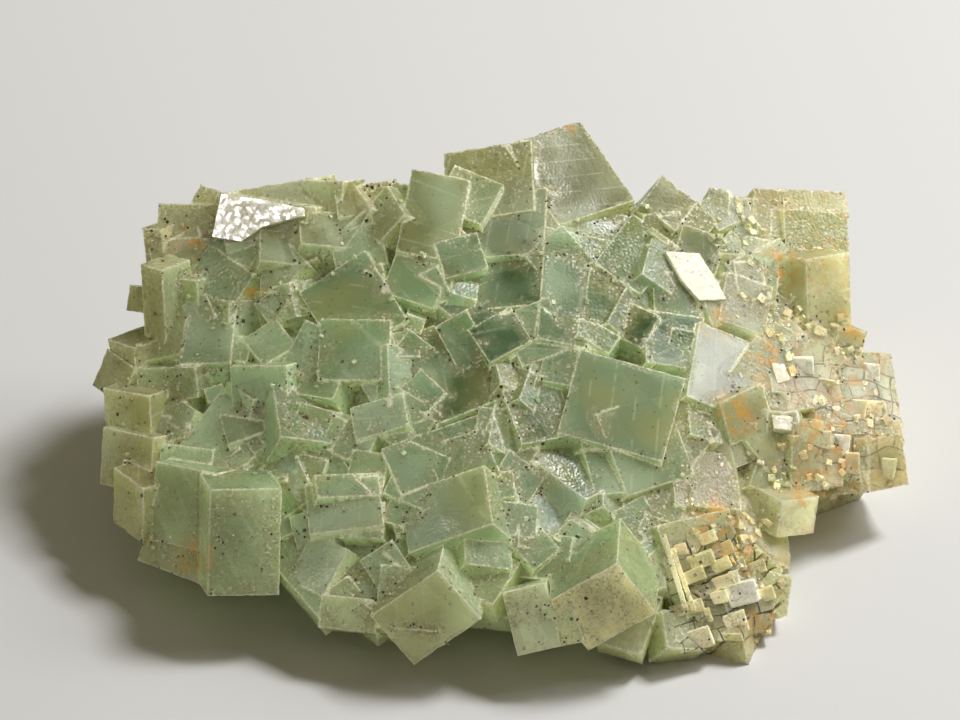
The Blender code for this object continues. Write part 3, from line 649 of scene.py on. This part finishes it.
# Single bricks: across, up, angle, half width, half height, how far it stands out, colour
singleBricks = [
    (52.2, -46.2, 14, 3.1, 2.4, 2.0, "white"), (38.6, -42.0, -73, 7.6, 0.55, 0.8, "cream"),
    (40.4, -43.6, -71, 6.6, 0.5, 0.6, "cream"), (43.6, -39.8, 20, 3.0, 1.5, 1.3, "shield"),
    (50.6, -43.0, 14, 1.0, 1.2, 1.9, "white"), (74.6, -20.6, -4, 1.6, 2.2, 1.3, "cream"),
    (62.0, -11.6, 10, 1.9, 1.4, 1.5, "white"),
]


def outlineSides(outline):
    corners = np.array(outline, float)
    return np.stack([corners, np.roll(corners, -1, 0)], 1)


# corner signs of a box with cut edges, which of its measures are drawn in, and its faces
def cutBoxPattern():
    signs, drawnIn = [], []
    for sign in np.ndindex(2, 2, 2):
        for axis in range(3):
            signs.append([2 * v - 1 for v in sign])
            drawnIn.append([0 if k == axis else 1 for k in range(3)])
    signs, drawnIn = np.array(signs, float), np.array(drawnIn, float)
    shape = signs * (1 - 0.2 * drawnIn)
    faces = []
    for axis in range(3):
        for side in (-1, 1):
            faces.append([i for i in range(24) if i % 3 == axis and signs[i][axis] == side])
    for first in range(3):
        second, along = (first + 1) % 3, (first + 2) % 3
        for a in (-1, 1):
            for b in (-1, 1):
                faces.append([i for i in range(24) if i % 3 != along
                              and signs[i][first] == a and signs[i][second] == b])
    faces += [[3 * k, 3 * k + 1, 3 * k + 2] for k in range(8)]
    turned = []
    for face in faces:
        middle = shape[face].mean(0)
        spokes = shape[face] - middle
        across = spokes[0] / np.linalg.norm(spokes[0])
        other = np.cross(middle / np.linalg.norm(middle), across)
        around = np.arctan2(spokes @ other, spokes @ across)
        turned.append([face[k] for k in np.argsort(around)])
    return signs, drawnIn, turned


# many boxes as one mesh: middles, axes and half sizes in metres, all by rows
def boxesMesh(name, middles, axes, halves, cut, jitter, seed):
    signs, drawnIn, pattern = cutBoxPattern()
    count = len(middles)
    chance = np.random.default_rng(seed)
    smallest = halves.min(1)
    local = signs[None] * (halves[:, None, :] - drawnIn[None] * (cut * smallest)[:, None, None])
    shift = chance.uniform(-jitter, jitter, (count, 8, 3)) * smallest[:, None, None]
    local += np.repeat(shift, 3, axis=1)
    points = middles[:, None, :] + np.einsum("nvk,nkj->nvj", local, axes)
    points[:, :, 2] = np.maximum(points[:, :, 2], 0.1 * mm)   # nothing under the foot
    faces = [[24 * n + k for k in face] for n in range(count) for face in pattern]
    return linkMesh(name, points.reshape(-1, 3), faces), len(pattern)


# gives the boxes the attributes that the crystals' material reads
def dressBoxes(item, facesEach, tones, dust, middles, seed, rim=0.5):
    mesh = item.data
    count = len(middles)
    flat = toPicture(middles)
    chance = np.random.default_rng(seed)
    shade = chance.uniform(0.86, 1.14, count * facesEach)[:, None]
    colours = np.clip(np.repeat(tones, facesEach, 0) * shade, 0, 0.98)
    addAttribute(mesh, "Tone", "FLOAT_COLOR", "FACE", np.c_[colours, np.ones(len(colours))])
    addAttribute(mesh, "Dust", "FLOAT", "FACE", np.repeat(dust, facesEach))
    addAttribute(mesh, "Chance", "FLOAT", "FACE", chance.random(count * facesEach))
    for name, value in (("OuterGap", np.full(count, rim)), ("InnerGap", np.full(count, 5.0)),
                        ("Shelter", np.full(count, 0.08)), ("Stain", stainAt(flat)),
                        ("Soil", np.zeros(count))):
        addAttribute(mesh, name, "FLOAT", "POINT", np.repeat(value, 24))


# random places on the crystals, more of them where the weight is high
def scatter(surface, weights, count, seed):
    chance = np.random.default_rng(seed)
    points, faces = surface["points"], surface["faces"]
    areas = np.linalg.norm(acrossTriangles(points, faces), axis=1)
    share = areas * weights
    chosen = chance.choice(len(faces), count, p=share / share.sum())
    first, second = chance.random(count), chance.random(count)
    over = first + second > 1
    first[over], second[over] = 1 - first[over], 1 - second[over]
    corner = points[faces][chosen]
    spots = corner[:, 0] + first[:, None] * (corner[:, 1] - corner[:, 0])
    spots += second[:, None] * (corner[:, 2] - corner[:, 0])
    return spots, surface["normals"][chosen], chosen


def turnedAxes(normal, tilt, spin, lean):
    up = Vector(normal)
    side = up.orthogonal().normalized()
    turn = Matrix.Rotation(spin, 3, up)
    leaning = Matrix.Rotation(tilt, 3, turn @ Vector(side))
    rows = [leaning @ turn @ side, leaning @ turn @ up.cross(side), leaning @ up]
    turned = Matrix.Rotation(lean, 3, rows[2])
    return [turned @ rows[0], turned @ rows[1], rows[2]]


def buildDruse(surface):
    settings = druseSettings
    chance = random.Random(settings["seed"])
    points, faces, normals = surface["points"], surface["faces"], surface["normals"]
    flat = toPicture(points[faces].mean(1))
    weights = np.zeros(len(faces))
    for x, y, reach, amount in druseZones:
        gap = np.hypot(flat[:, 0] - x, flat[:, 1] - y) / reach
        weights = np.maximum(weights, amount * np.clip(1.2 - gap * gap, 0, 1))
    gaps = surface["innerGap"][faces].mean(1)
    weights = (weights + 0.06) * (0.12 + smooth(2.6, 0.5, gaps))
    clumps = np.array([noise.noise(Vector(p) / mm * 0.22) for p in points[faces[:, 0]]])
    weights *= smooth(-0.25, 0.3, clumps) + 0.05
    seen = normals @ viewAxis
    weights[seen < 0.05] *= settings["onBackFaces"]
    weights[normals[:, 2] < -0.5] = 0
    spots, hosts, chosen = scatter(surface, weights, settings["count"], settings["seed"])
    middles, axes, halves, tones, dust = [], [], [], [], []
    low, high = settings["halfSize"]
    places = toPicture(spots)
    for i, (spot, host) in enumerate(zip(spots, hosts)):
        right = float(smooth(34, 62, places[i][0]))
        size = low + (high - low + settings["rightSize"] * right) * chance.random() ** 2.4
        tilt = chance.uniform(0, 0.2) if chance.random() < 0.5 else chance.uniform(0.2, 0.9)
        rows = turnedAxes(host, tilt, chance.uniform(0, 2 * math.pi), chance.uniform(0, math.pi))
        middles.append(spot - host * size * settings["sunk"] * chance.uniform(0.4, 1.4) * mm)
        axes.append([tuple(row) for row in rows])
        halves.append([size * mm * chance.uniform(0.8, 1.15) for _ in range(3)])
        tone = placeTone(places[i], float(seen[chosen[i]] > 0.05)) * chance.uniform(0.66, 1.0)
        pale = np.array(palette["cream" if right > 0.3 else "paleGreen"])
        tones.append(tone + (pale - tone) * chance.uniform(0.0, 0.15 + 0.35 * right))
        dust.append(chance.uniform(0.1, 0.9))
    item, facesEach = boxesMesh("small_crystals", np.array(middles), np.array(axes), np.array(halves),
                                0.12, 0.1, settings["seed"])
    dressBoxes(item, facesEach, np.array(tones), np.array(dust), np.array(middles), settings["seed"] + 1)
    return item


# the crystals' surface below a place of the picture, as mm toward the viewer
def surfaceAt(surface, across, up):
    hit = surface["tree"].ray_cast(fromPicture(across, up, 200), -towardViewer)
    return None if hit[0] is None else 200 - hit[3] / mm


# a brick that stands out of the surface, from its place in the picture, or nothing if it would hang
def brickBox(surface, across, up, angle, halfWidth, halfHeight, proud, tilts):
    turn = math.radians(angle)
    along, over = (math.cos(turn), math.sin(turn)), (-math.sin(turn), math.cos(turn))
    depths = []
    for a, b in ((0, 0), (-1, -1), (-1, 1), (1, -1), (1, 1)):
        x = across + (a * halfWidth * along[0] + b * halfHeight * over[0]) * 0.85
        y = up + (a * halfWidth * along[1] + b * halfHeight * over[1]) * 0.85
        depths.append(surfaceAt(surface, x, y))
    if None in depths or max(depths) - min(depths) > 6:
        return None
    top = depths[0] + proud
    bottom = min(depths) - 1.0
    half = max(0.6, (top - bottom) / 2)
    middle = fromPicture(across, up, top - half)
    origin = fromPicture(0, 0, 0)
    rows = [fromPicture(*along, 0) - origin, fromPicture(*over, 0) - origin, fromPicture(0, 0, 1) - origin]
    rows = [row.normalized() for row in rows]
    turned = Matrix.Rotation(tilts[0], 3, rows[0]) @ Matrix.Rotation(tilts[1], 3, rows[1])
    return middle, [tuple(turned @ row) for row in rows], (halfWidth * mm, halfHeight * mm, half * mm)


# rows of bricks inside an outline, like a wall seen from the viewer's side
def wallBricks(surface, wall):
    chance = random.Random(wall["seed"])
    outline = outlineSides(wall["outline"])
    corners = np.array(wall["outline"], float)
    centre = corners.mean(0)
    reach = np.abs(corners - centre).max() * 1.3
    turn = math.radians(wall["angle"])
    made = []
    up = -reach
    while up < reach:
        height = chance.uniform(*wall["height"])
        along = -reach + chance.uniform(0, wall["width"][1])
        rowTurn = chance.uniform(-5, 5)
        while along < reach:
            width = chance.uniform(*wall["width"])
            x = centre[0] + (along + width / 2) * math.cos(turn) - (up + height / 2) * math.sin(turn)
            y = centre[1] + (along + width / 2) * math.sin(turn) + (up + height / 2) * math.cos(turn)
            along += width
            if chance.random() > wall["share"] or not insideOutline(np.array([(x, y)]), outline)[0]:
                continue
            tilts = [math.radians(chance.uniform(-wall["tilt"], wall["tilt"])) for _ in range(2)]
            gap = wall["gap"] * chance.uniform(0.6, 1.5)
            box = brickBox(surface, x, y + chance.uniform(-0.4, 0.4),
                           wall["angle"] + rowTurn + chance.uniform(-7, 7),
                           (width - gap) / 2, (height - gap) / 2, chance.uniform(*wall["proud"]), tilts)
            if box:
                made.append((*box, chance.choice(wall["colours"])))
        up += height
    return made


def buildBricks(surface):
    boxes = []
    for wall in brickWalls.values():
        boxes += wallBricks(surface, wall)
    for across, up, angle, halfWidth, halfHeight, proud, colour in singleBricks:
        box = brickBox(surface, across, up, angle, halfWidth, halfHeight, proud, (0.06, -0.08))
        if box:
            boxes.append((*box, colour))
    middles = np.array([tuple(box[0]) for box in boxes])
    item, facesEach = boxesMesh("etched_bricks", middles, np.array([box[1] for box in boxes]),
                                np.array([box[2] for box in boxes]), 0.16, 0.14, 41)
    chance = random.Random(43)
    tones = [np.array(palette[box[3]]) * chance.uniform(0.84, 1.06) for box in boxes]
    dust = [0.15 if box[3] == "white" else chance.uniform(0.3, 0.8) for box in boxes]
    dressBoxes(item, facesEach, np.array(tones), np.array(dust), middles, 47)
    print("bricks", len(boxes))
    return item


# Flat crystals painted pale where their faces glint, a painted reflection: outline in the picture in mm,
# thickness in mm, colour
glintPlates = {
    "upperLeft": {"outline": [(-52, 33.4), (-44, 32.2), (-35.4, 30.4), (-35.4, 29), (-43.6, 26.8),
                              (-48, 23.8), (-53.8, 24.8)], "thick": 4.0, "colour": "white"},
    "rightOfSummit": {"outline": [(37.2, 21.8), (44, 21.4), (47.6, 15.6), (49.4, 12.2), (44, 12),
                                  (40.2, 16.2)], "thick": 4.0, "colour": "paintedGlint"},
    "rightSpark": {"outline": [(58.4, -11), (62.6, -11.2), (62.2, -14), (58.8, -13.6)],
                   "thick": 2.0, "colour": "paintedGlint"},
    "upperSpark": {"outline": [(58.4, -0.6), (61, -0.8), (62.2, -4), (59.6, -4.6)],
                   "thick": 2.0, "colour": "paintedGlint"},
}


# a closed plate that follows the surface below it, just above it all over its outline
def buildPlate(surface, name, plate, seed):
    outline = np.array(plate["outline"], float)
    sides = outlineSides(outline)
    grid = gridInside(sides, 0.7, random.Random(seed))
    border = np.concatenate([start + (end - start) * np.linspace(0, 1, 12, endpoint=False)[:, None]
                             for start, end in sides])
    flat = np.concatenate([border, grid])
    found = [(*spot, surfaceAt(surface, *spot)) for spot in np.concatenate([outline, grid])]
    found = np.array([row for row in found if row[2] is not None])
    slopes = np.linalg.lstsq(np.c_[found[:, :2], np.ones(len(found))], found[:, 2], rcond=None)[0][:2]
    level = (found[:, 2] - found[:, :2] @ slopes).max() + 0.25
    origin = fromPicture(0, 0, 0)
    normal = (fromPicture(-slopes[0], -slopes[1], 1) - origin).normalized()
    count = len(border)
    edges = [(k, (k + 1) % count) for k in range(count)]
    made = delaunay_2d_cdt([Vector(spot) for spot in flat], edges, [], 1, 1e-5)
    spots = np.array([tuple(spot) for spot in made[0]])
    ring = [next(k for k, origins in enumerate(made[3]) if i in origins) for i in range(count)]
    rim = set(ring)
    top = []
    for k, (x, y) in enumerate(spots):
        rough = 0.0 if k in rim else 0.12 * noise.noise(Vector((x, y, 0)) * 0.9)
        top.append(fromPicture(x, y, level + x * slopes[0] + y * slopes[1] + rough))
    bottom = [Vector(top[k]) - normal * plate["thick"] * mm for k in ring]
    points = np.array([tuple(point) for point in top + bottom])
    faces = []
    for a, b, c in made[2]:
        across = (top[b] - top[a]).cross(top[c] - top[a])
        faces.append((a, b, c) if across.dot(normal) > 0 else (a, c, b))
    directed = {(f[k], f[(k + 1) % 3]) for f in faces for k in range(3)}
    forward = (ring[0], ring[1]) in directed
    low = len(top)
    for k in range(count):
        a, b = ring[k], ring[(k + 1) % count]
        c, d = low + (k + 1) % count, low + k
        faces.append((b, a, d, c) if forward else (a, b, c, d))
    floorFace = [low + k for k in range(count)]
    faces.append(tuple(reversed(floorFace)) if forward else tuple(floorFace))
    item = linkMesh(name, points, faces)
    mesh = item.data
    tone = np.array([(*palette[plate["colour"]], 1.0)] * len(faces))
    addAttribute(mesh, "Tone", "FLOAT_COLOR", "FACE", tone)
    for key, value in (("Dust", 0.2), ("Chance", 0.3)):
        addAttribute(mesh, key, "FLOAT", "FACE", np.full(len(faces), value))
    gap = np.array([0.0 if k in rim or k >= low else 2.0 for k in range(len(points))])
    for key, value in (("OuterGap", gap), ("InnerGap", gap + 5), ("Shelter", gap * 0),
                       ("Stain", gap * 0), ("Soil", gap * 0)):
        addAttribute(mesh, key, "FLOAT", "POINT", value)
    return item


def buildSoil(surface):
    settings = soilSettings
    chance = random.Random(settings["seed"])
    points, faces, normals = surface["points"], surface["faces"], surface["normals"]
    gaps = surface["innerGap"][faces].mean(1)
    clumps = np.array([noise.noise(Vector(p) / mm * 0.35) for p in points[faces[:, 0]]])
    weights = smooth(1.1, 0.1, gaps) * smooth(0.0, 0.35, clumps)
    weights[normals[:, 2] < 0] = 0
    spots, hosts, _ = scatter(surface, weights, settings["count"], settings["seed"])
    middles, axes, halves = [], [], []
    low, high = settings["halfSize"]
    for spot, host in zip(spots, hosts):
        size = low + (high - low) * chance.random() ** 2
        rows = turnedAxes(host, chance.uniform(0, 0.9), chance.uniform(0, 2 * math.pi), 0)
        middles.append(spot)
        axes.append([tuple(row) for row in rows])
        halves.append([size * mm * chance.uniform(0.6, 1.3) for _ in range(3)])
    item, _ = boxesMesh("soil_grains", np.array(middles), np.array(axes), np.array(halves),
                        0.5, 0.4, settings["seed"])
    item.data.shade_smooth()
    return item


# makes nodes in one tree
class nodeMaker:
    def __init__(self, tree):
        self.tree = tree

    # a node with its inputs set or linked, by the socket's name or number
    def node(self, kind, inputs=None, **values):
        made = self.tree.nodes.new("ShaderNode" + kind if not kind.startswith("NodeGroup") else kind)
        for name, value in values.items():
            setattr(made, name, value)
        for name, value in (inputs or {}).items():
            socket = made.inputs[name]
            if isinstance(value, bpy.types.NodeSocket):
                self.tree.links.new(value, socket)
            else:
                socket.default_value = value
        return made

    def math(self, operation, a, b, clamp=False):
        return self.node("Math", {0: a, 1: b}, operation=operation, use_clamp=clamp).outputs[0]

    def times(self, a, b, clamp=False):
        return self.math("MULTIPLY", a, b, clamp)

    def ramp(self, value, low, high, toLow=0.0, toHigh=1.0):
        return self.node("MapRange", {"Value": value, "From Min": low, "From Max": high,
                                      "To Min": toLow, "To Max": toHigh}).outputs[0]

    def blend(self, share, a, b, kind="MIX"):
        return self.node("Mix", {0: share, 6: a, 7: b}, data_type="RGBA", blend_type=kind).outputs[2]

    def attribute(self, name, output="Fac"):
        return self.node("Attribute", attribute_name=name).outputs[output]

    def noise(self, place, scale, detail, rough=0.5):
        return self.node("TexNoise", {"Vector": place, "Scale": scale, "Detail": detail,
                                      "Roughness": rough}).outputs[0]

    def vector(self, operation, a, b=None, scale=None):
        inputs = {0: a} if b is None else {0: a, 1: b}
        if scale is not None:
            inputs["Scale"] = scale
        return self.node("VectorMath", inputs, operation=operation).outputs[0]

    # random values in small cells all over, so many to the metre
    def grains(self, place, scale):
        cells = self.vector("FLOOR", self.vector("SCALE", place, scale=scale))
        return self.node("TexWhiteNoise", {"Vector": cells})

    def channels(self, colour):
        return self.node("SeparateColor", {0: colour}).outputs


fluoriteLook = {
    "bending": 1.434,         # fluorite's index of refraction
    "clear": 0.3,             # how much of the light goes straight into the large crystals
    "milk": 1.0,              # how much of the rest is scattered inside
    "milkReach": 0.007,       # metres, how far it spreads in them
    "smallReach": 0.0012,     # and in the small ones, which let nothing through
    "milkTint": (0.85, 1.0, 0.65),
    "depthTint": (0.70, 0.86, 0.58, 1),   # what long ways through the crystal leave
    "depthStrength": 30.0,
    # pale lines inside the crystals, and the painted highlight along worn outer edges
    "rimColour": (0.86, 0.86, 0.62, 1),
    # dirt along the inner edges, and painted shade where other crystals hide the sky
    "dirtAndShadeColour": (0.200, 0.150, 0.045, 1),
    "soilColour": (0.110, 0.070, 0.022, 1),
    "dustColour": (0.470, 0.440, 0.210, 1),
    "darkGrain": (0.210, 0.170, 0.065, 1),
    "glintColour": (0.95, 0.96, 0.85, 1),
    "stainColour": (0.72, 0.37, 0.070, 1),
    "pepperColour": (0.015, 0.012, 0.007, 1),
    "veilColour": (0.62, 0.76, 0.54, 1),
    "yellowColour": (0.60, 0.55, 0.17, 1),
}


# the skin of the crystals as one node group: colour, roughness and normal
def fluoriteSurface():
    look = fluoriteLook
    tree = bpy.data.node_groups.new("fluoriteSurface", "ShaderNodeTree")
    for name, value in (("Dust", 1.0), ("Rim", 1.0), ("Glint", 1.0)):
        tree.interface.new_socket(name, in_out="INPUT", socket_type="NodeSocketFloat").default_value = value
    for name, kind in (("Color", "Color"), ("Roughness", "Float"), ("Normal", "Vector")):
        tree.interface.new_socket(name, in_out="OUTPUT", socket_type="NodeSocket" + kind)
    make = nodeMaker(tree)
    given = make.node("NodeGroupInput").outputs
    place = make.node("TexCoord").outputs["Object"]
    dust = make.times(make.attribute("Dust"), given["Dust"])
    outerGap = make.attribute("OuterGap")
    innerGap = make.attribute("InnerGap")
    soil = make.attribute("Soil")

    # clouds, pale veils and yellow ones inside the crystals
    wisps = make.noise(place, 70, 1, 0.6)
    tone = make.attribute("Tone", "Color")
    colour = make.blend(1.0, tone, make.ramp(wisps, 0.3, 0.7, 0.78, 1.16), "MULTIPLY")
    colour = make.blend(make.ramp(wisps, 0.47, 0.30, 0, 0.3), colour, look["yellowColour"])
    colour = make.blend(make.ramp(wisps, 0.52, 0.74, 0, 0.32), colour, look["veilColour"])
    patches = make.noise(place, 190, 2, 0.7)

    # inner crystal blocks with straight sides, turned another way in each crystal face
    turned = make.node("VectorRotate", {"Vector": place, "Axis": (0.6, 0.5, 0.62),
                                        "Angle": make.times(make.attribute("Chance"), 6.28)}).outputs[0]
    shade = make.grains(turned, 150).outputs["Value"]
    colour = make.blend(1.0, colour, make.ramp(shade, 0, 1, 0.90, 1.10), "MULTIPLY")
    bands = make.node("TexWave", {"Vector": turned, "Scale": 85.0}).outputs["Fac"]
    lines = make.times(make.ramp(bands, 0.955, 0.995), make.ramp(patches, 0.55, 0.45))
    colour = make.blend(make.times(lines, 0.2), colour, look["rimColour"])

    # dust: a brown film with dark grains and bright ones, which are painted glints, in patches and in bands
    # along all edges
    patch = make.ramp(patches, 0.40, 0.60)
    band = make.math("MAXIMUM", make.ramp(innerGap, 2.6, 0.3), make.ramp(outerGap, 1.5, 0.3, 0, 0.8))
    band = make.times(band, make.ramp(patch, 0, 1, 0.15, 0.95))
    dusty = make.math("MAXIMUM", make.times(dust, patch, True), band)
    colour = make.blend(make.times(dusty, 0.5), colour, look["dustColour"])
    grain = make.grains(place, 2600).outputs
    parts = make.channels(grain["Color"])
    dark = make.times(make.ramp(parts[0], 0.55, 0.85), dusty)
    colour = make.blend(make.times(dark, 0.7), colour, look["darkGrain"])
    # painted glints: bright grains in the dust
    bright = make.times(make.ramp(parts[1], 0.84, 0.93), make.ramp(dusty, 0, 1, 0.02, 0.6))
    colour = make.blend(make.times(bright, given["Glint"]), colour, look["glintColour"])

    # pale lines along the outer edges: worn edges with a painted highlight
    rim = make.times(make.ramp(outerGap, 0.44, 0.12), make.ramp(parts[2], 0.2, 0.6, 0.3, 0.95))
    colour = make.blend(make.times(rim, given["Rim"]), colour, look["rimColour"])

    # dirt along the inner edges, and painted shade where other crystals hide the sky
    spots = make.noise(place, 360, 1, 0.7)
    uneven = make.ramp(spots, 0.38, 0.66)
    seam = make.times(make.ramp(innerGap, 0.6, 0.05), uneven)
    hiddenSkyShade = make.times(make.ramp(make.attribute("Shelter"), 0.22, 0.65), make.ramp(uneven, 0, 1, 0.3, 1))
    dirtAndShade = make.math("MAXIMUM", make.times(seam, 0.65), make.times(hiddenSkyShade, 0.6))
    colour = make.blend(dirtAndShade, colour, look["dirtAndShadeColour"])

    # where etched crystals came apart into bricks: each brick's own shade, and cracks between them
    wall = make.node("TexBrick", {"Vector": make.attribute("Wall", "Vector"), "Color1": (0.72, 0.70, 0.62, 1),
                                  "Color2": (1.2, 1.2, 1.2, 1), "Mortar": (0.9, 0.9, 0.9, 1), "Scale": 1.0,
                                  "Mortar Size": 0.2, "Mortar Smooth": 0.4, "Brick Width": 6.4,
                                  "Row Height": 3.3},
                     offset=0.37, offset_frequency=2, squash=0.6, squash_frequency=3).outputs
    colour = make.blend(soil, colour, make.blend(1.0, colour, wall["Color"], "MULTIPLY"))
    crack = make.times(soil, wall["Fac"])
    colour = make.blend(make.times(crack, make.ramp(uneven, 0, 0.5, 0.25, 1)), colour, look["soilColour"])

    # orange stains
    rust = make.times(make.times(make.attribute("Stain"), 0.8), make.ramp(spots, 0.54, 0.38), True)
    colour = make.blend(rust, colour, look["stainColour"])

    # black specks
    coarse = make.grains(turned, 1500).outputs
    for cell, share in ((grain, 0.993), (coarse, 0.9972)):
        speck = make.times(make.math("GREATER_THAN", cell["Value"], share), make.ramp(dusty, 0, 0.6, 0.35, 1))
        colour = make.blend(speck, colour, look["pepperColour"])

    rough = make.math("ADD", make.ramp(dusty, 0, 1, 0.22, 0.55), make.ramp(wisps, 0.3, 0.7, -0.05, 0.08))
    height = make.times(make.noise(place, 1900, 0), make.ramp(dust, 0, 1, 0.2, 1))
    height = make.math("SUBTRACT", height, make.times(crack, 2.0))
    bump = make.node("Bump", {"Height": height, "Strength": 0.7, "Distance": 0.00018}).outputs[0]
    # each grain leans its own way
    tilt = make.vector("SUBTRACT", grain["Color"], (0.5, 0.5, 0.5))
    tilted = make.vector("ADD", bump, make.vector("SCALE", tilt, scale=make.times(dusty, 0.5)))
    make.node("NodeGroupOutput", {"Color": colour, "Roughness": rough,
                                  "Normal": make.vector("NORMALIZE", tilted)})
    return tree


def newMaterial(name):
    material = bpy.data.materials.new(name)
    material.use_nodes = True
    make = nodeMaker(material.node_tree)
    return material, make, make.tree.nodes["Principled BSDF"]


# clear is how much of the light goes straight in, milkReach how far the rest spreads, in metres,
# and coat the values of a bright outer layer
def fluoriteMaterial(name, clear, milkReach, coat=None, **skinValues):
    look = fluoriteLook
    material, make, shader = newMaterial(name)
    skin = make.node("Group", node_tree=surfaceGroup)
    for key, value in skinValues.items():
        skin.inputs[key].default_value = value
    for socket, output in (("Base Color", "Color"), ("Roughness", "Roughness"), ("Normal", "Normal")):
        make.tree.links.new(skin.outputs[output], shader.inputs[socket])
    shader.subsurface_method = "BURLEY"
    plain = {"Metallic": 0.0, "IOR": look["bending"], "Transmission Weight": clear,
             "Subsurface Weight": look["milk"], "Subsurface Radius": look["milkTint"],
             "Subsurface Scale": milkReach, **(coat or {})}
    for key, value in plain.items():
        shader.inputs[key].default_value = value
    if clear > 0:
        inside = make.node("VolumeAbsorption", {"Color": look["depthTint"], "Density": look["depthStrength"]})
        make.tree.links.new(inside.outputs[0], make.tree.nodes["Material Output"].inputs["Volume"])
    return material


def soilMaterial():
    material, make, shader = newMaterial("brown_soil")
    place = make.node("TexCoord").outputs["Object"]
    shade = make.ramp(make.noise(place, 700, 3), 0.3, 0.7, 0.4, 1.6)
    colour = make.blend(1.0, soilSettings["colour"], shade, "MULTIPLY")
    make.tree.links.new(colour, shader.inputs["Base Color"])
    shader.inputs["Roughness"].default_value = 0.9
    return material


rawPoints, rawTriangles = weldedTriangles("fluorite_cluster")
crystals, surface = buildCrystals()
surfaceGroup = fluoriteSurface()
crystals.data.materials.append(fluoriteMaterial("green_fluorite", fluoriteLook["clear"],
                                                fluoriteLook["milkReach"]))
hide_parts("fluorite_cluster")
print("crystals built")
smallFluorite = fluoriteMaterial("small_green_fluorite", 0.0, fluoriteLook["smallReach"], Rim=0.6)
smallCrystals = buildDruse(surface)
smallCrystals.data.materials.append(smallFluorite)
print("small crystals built")
bricks = buildBricks(surface)
bricks.data.materials.append(smallFluorite)
brightCoat = {"Coat Weight": 0.9, "Coat IOR": 2.1, "Coat Roughness": 0.16}
frostedFluorite = fluoriteMaterial("frosted_fluorite", 0.0, fluoriteLook["smallReach"], brightCoat, Dust=0.6)
plates = [buildPlate(surface, "glint_plate_" + name, plate, 51 + number)
          for number, (name, plate) in enumerate(glintPlates.items())]
for plate in plates:   # only the upper left one mirrors the window; the pale colour of all of them is a painted glint
    plate.data.materials.append(frostedFluorite if plate is plates[0] else smallFluorite)
soilGrains = buildSoil(surface)
soilGrains.data.materials.append(soilMaterial())
print("bricks, plates and soil built")
pieces = (crystals, smallCrystals, bricks, soilGrains, *plates)
for piece in pieces:
    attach(piece, "root")

studio = {
    "floorColour": (0.80, 0.795, 0.80, 1),
    "skyColour": (1.0, 0.91, 0.62, 1),
    "skyStrength": 0.16,
    # each light: turn round the object from the front, height, distance in metres, size, watts
    "lights": {
        "keyLight": (128, 52, 1.3, 0.3, 12.5),
        "rightWindow": (110, 36, 1.3, 0.6, 5.0),
        "leftWindow": (-74, 50, 1.3, 0.16, 1.3),
        "frontFill": (-5, 42, 1.7, 1.6, 6.6),
    },
    "crystalsOnly": ("leftWindow", "frontFill"),   # these lights leave the floor's shadow dark
    "cameraDistance": 2.5,
    "pictureWidth": 192.0,    # mm across at the crystals' surface
    "surfaceToward": 58.0,    # mm from the picture's plane to that surface
}

floorMesh = bpy.data.meshes.new("floor")
floorMesh.from_pydata([(-4, -4, 0), (4, -4, 0), (4, 4, 0), (-4, 4, 0)], [], [(0, 1, 2, 3)])
floor = bpy.data.objects.new("floor", floorMesh)
bpy.context.scene.collection.objects.link(floor)
floorMaterial, _, floorShader = newMaterial("pale_floor")
floorShader.inputs["Base Color"].default_value = studio["floorColour"]
floorShader.inputs["Roughness"].default_value = 0.45
floorMesh.materials.append(floorMaterial)

world = bpy.data.worlds.new("studio")
world.use_nodes = True
world.node_tree.nodes["Background"].inputs[0].default_value = studio["skyColour"]
world.node_tree.nodes["Background"].inputs[1].default_value = studio["skyStrength"]
bpy.context.scene.world = world

litPieces = bpy.data.collections.new("lit_pieces")
for piece in pieces:
    litPieces.objects.link(piece)
for name, (azimuth, height, distance, size, watts) in studio["lights"].items():
    light = bpy.data.lights.new(name, "AREA")
    light.energy = watts
    light.size = size
    lamp = bpy.data.objects.new(name, light)
    a, e = math.radians(azimuth), math.radians(height)
    away = Vector((math.sin(a) * math.cos(e), -math.cos(a) * math.cos(e), math.sin(e)))
    lamp.location = away * distance + Vector((0, 0, 0.03))
    lamp.rotation_euler = away.to_track_quat("Z", "Y").to_euler()
    bpy.context.scene.collection.objects.link(lamp)
    if name in studio["crystalsOnly"]:
        lamp.light_linking.receiver_collection = litPieces

camera = bpy.data.cameras.new("camera")
toCamera = fromPicture(0, 0, 1) - fromPicture(0, 0, 0)
view = bpy.data.objects.new("camera", camera)
view.location = pictureOrigin + toCamera / mm * studio["cameraDistance"]
view.rotation_euler = toCamera.to_track_quat("Z", "Y").to_euler()
camera.sensor_width = 36
reach = studio["cameraDistance"] - studio["surfaceToward"] * mm
camera.lens = 36 * reach / (studio["pictureWidth"] * mm)
camera.clip_start = 0.1
camera.clip_end = 20
bpy.context.scene.collection.objects.link(view)
bpy.context.scene.camera = view
bpy.context.scene.view_settings.view_transform = "Standard"
print("studio built")
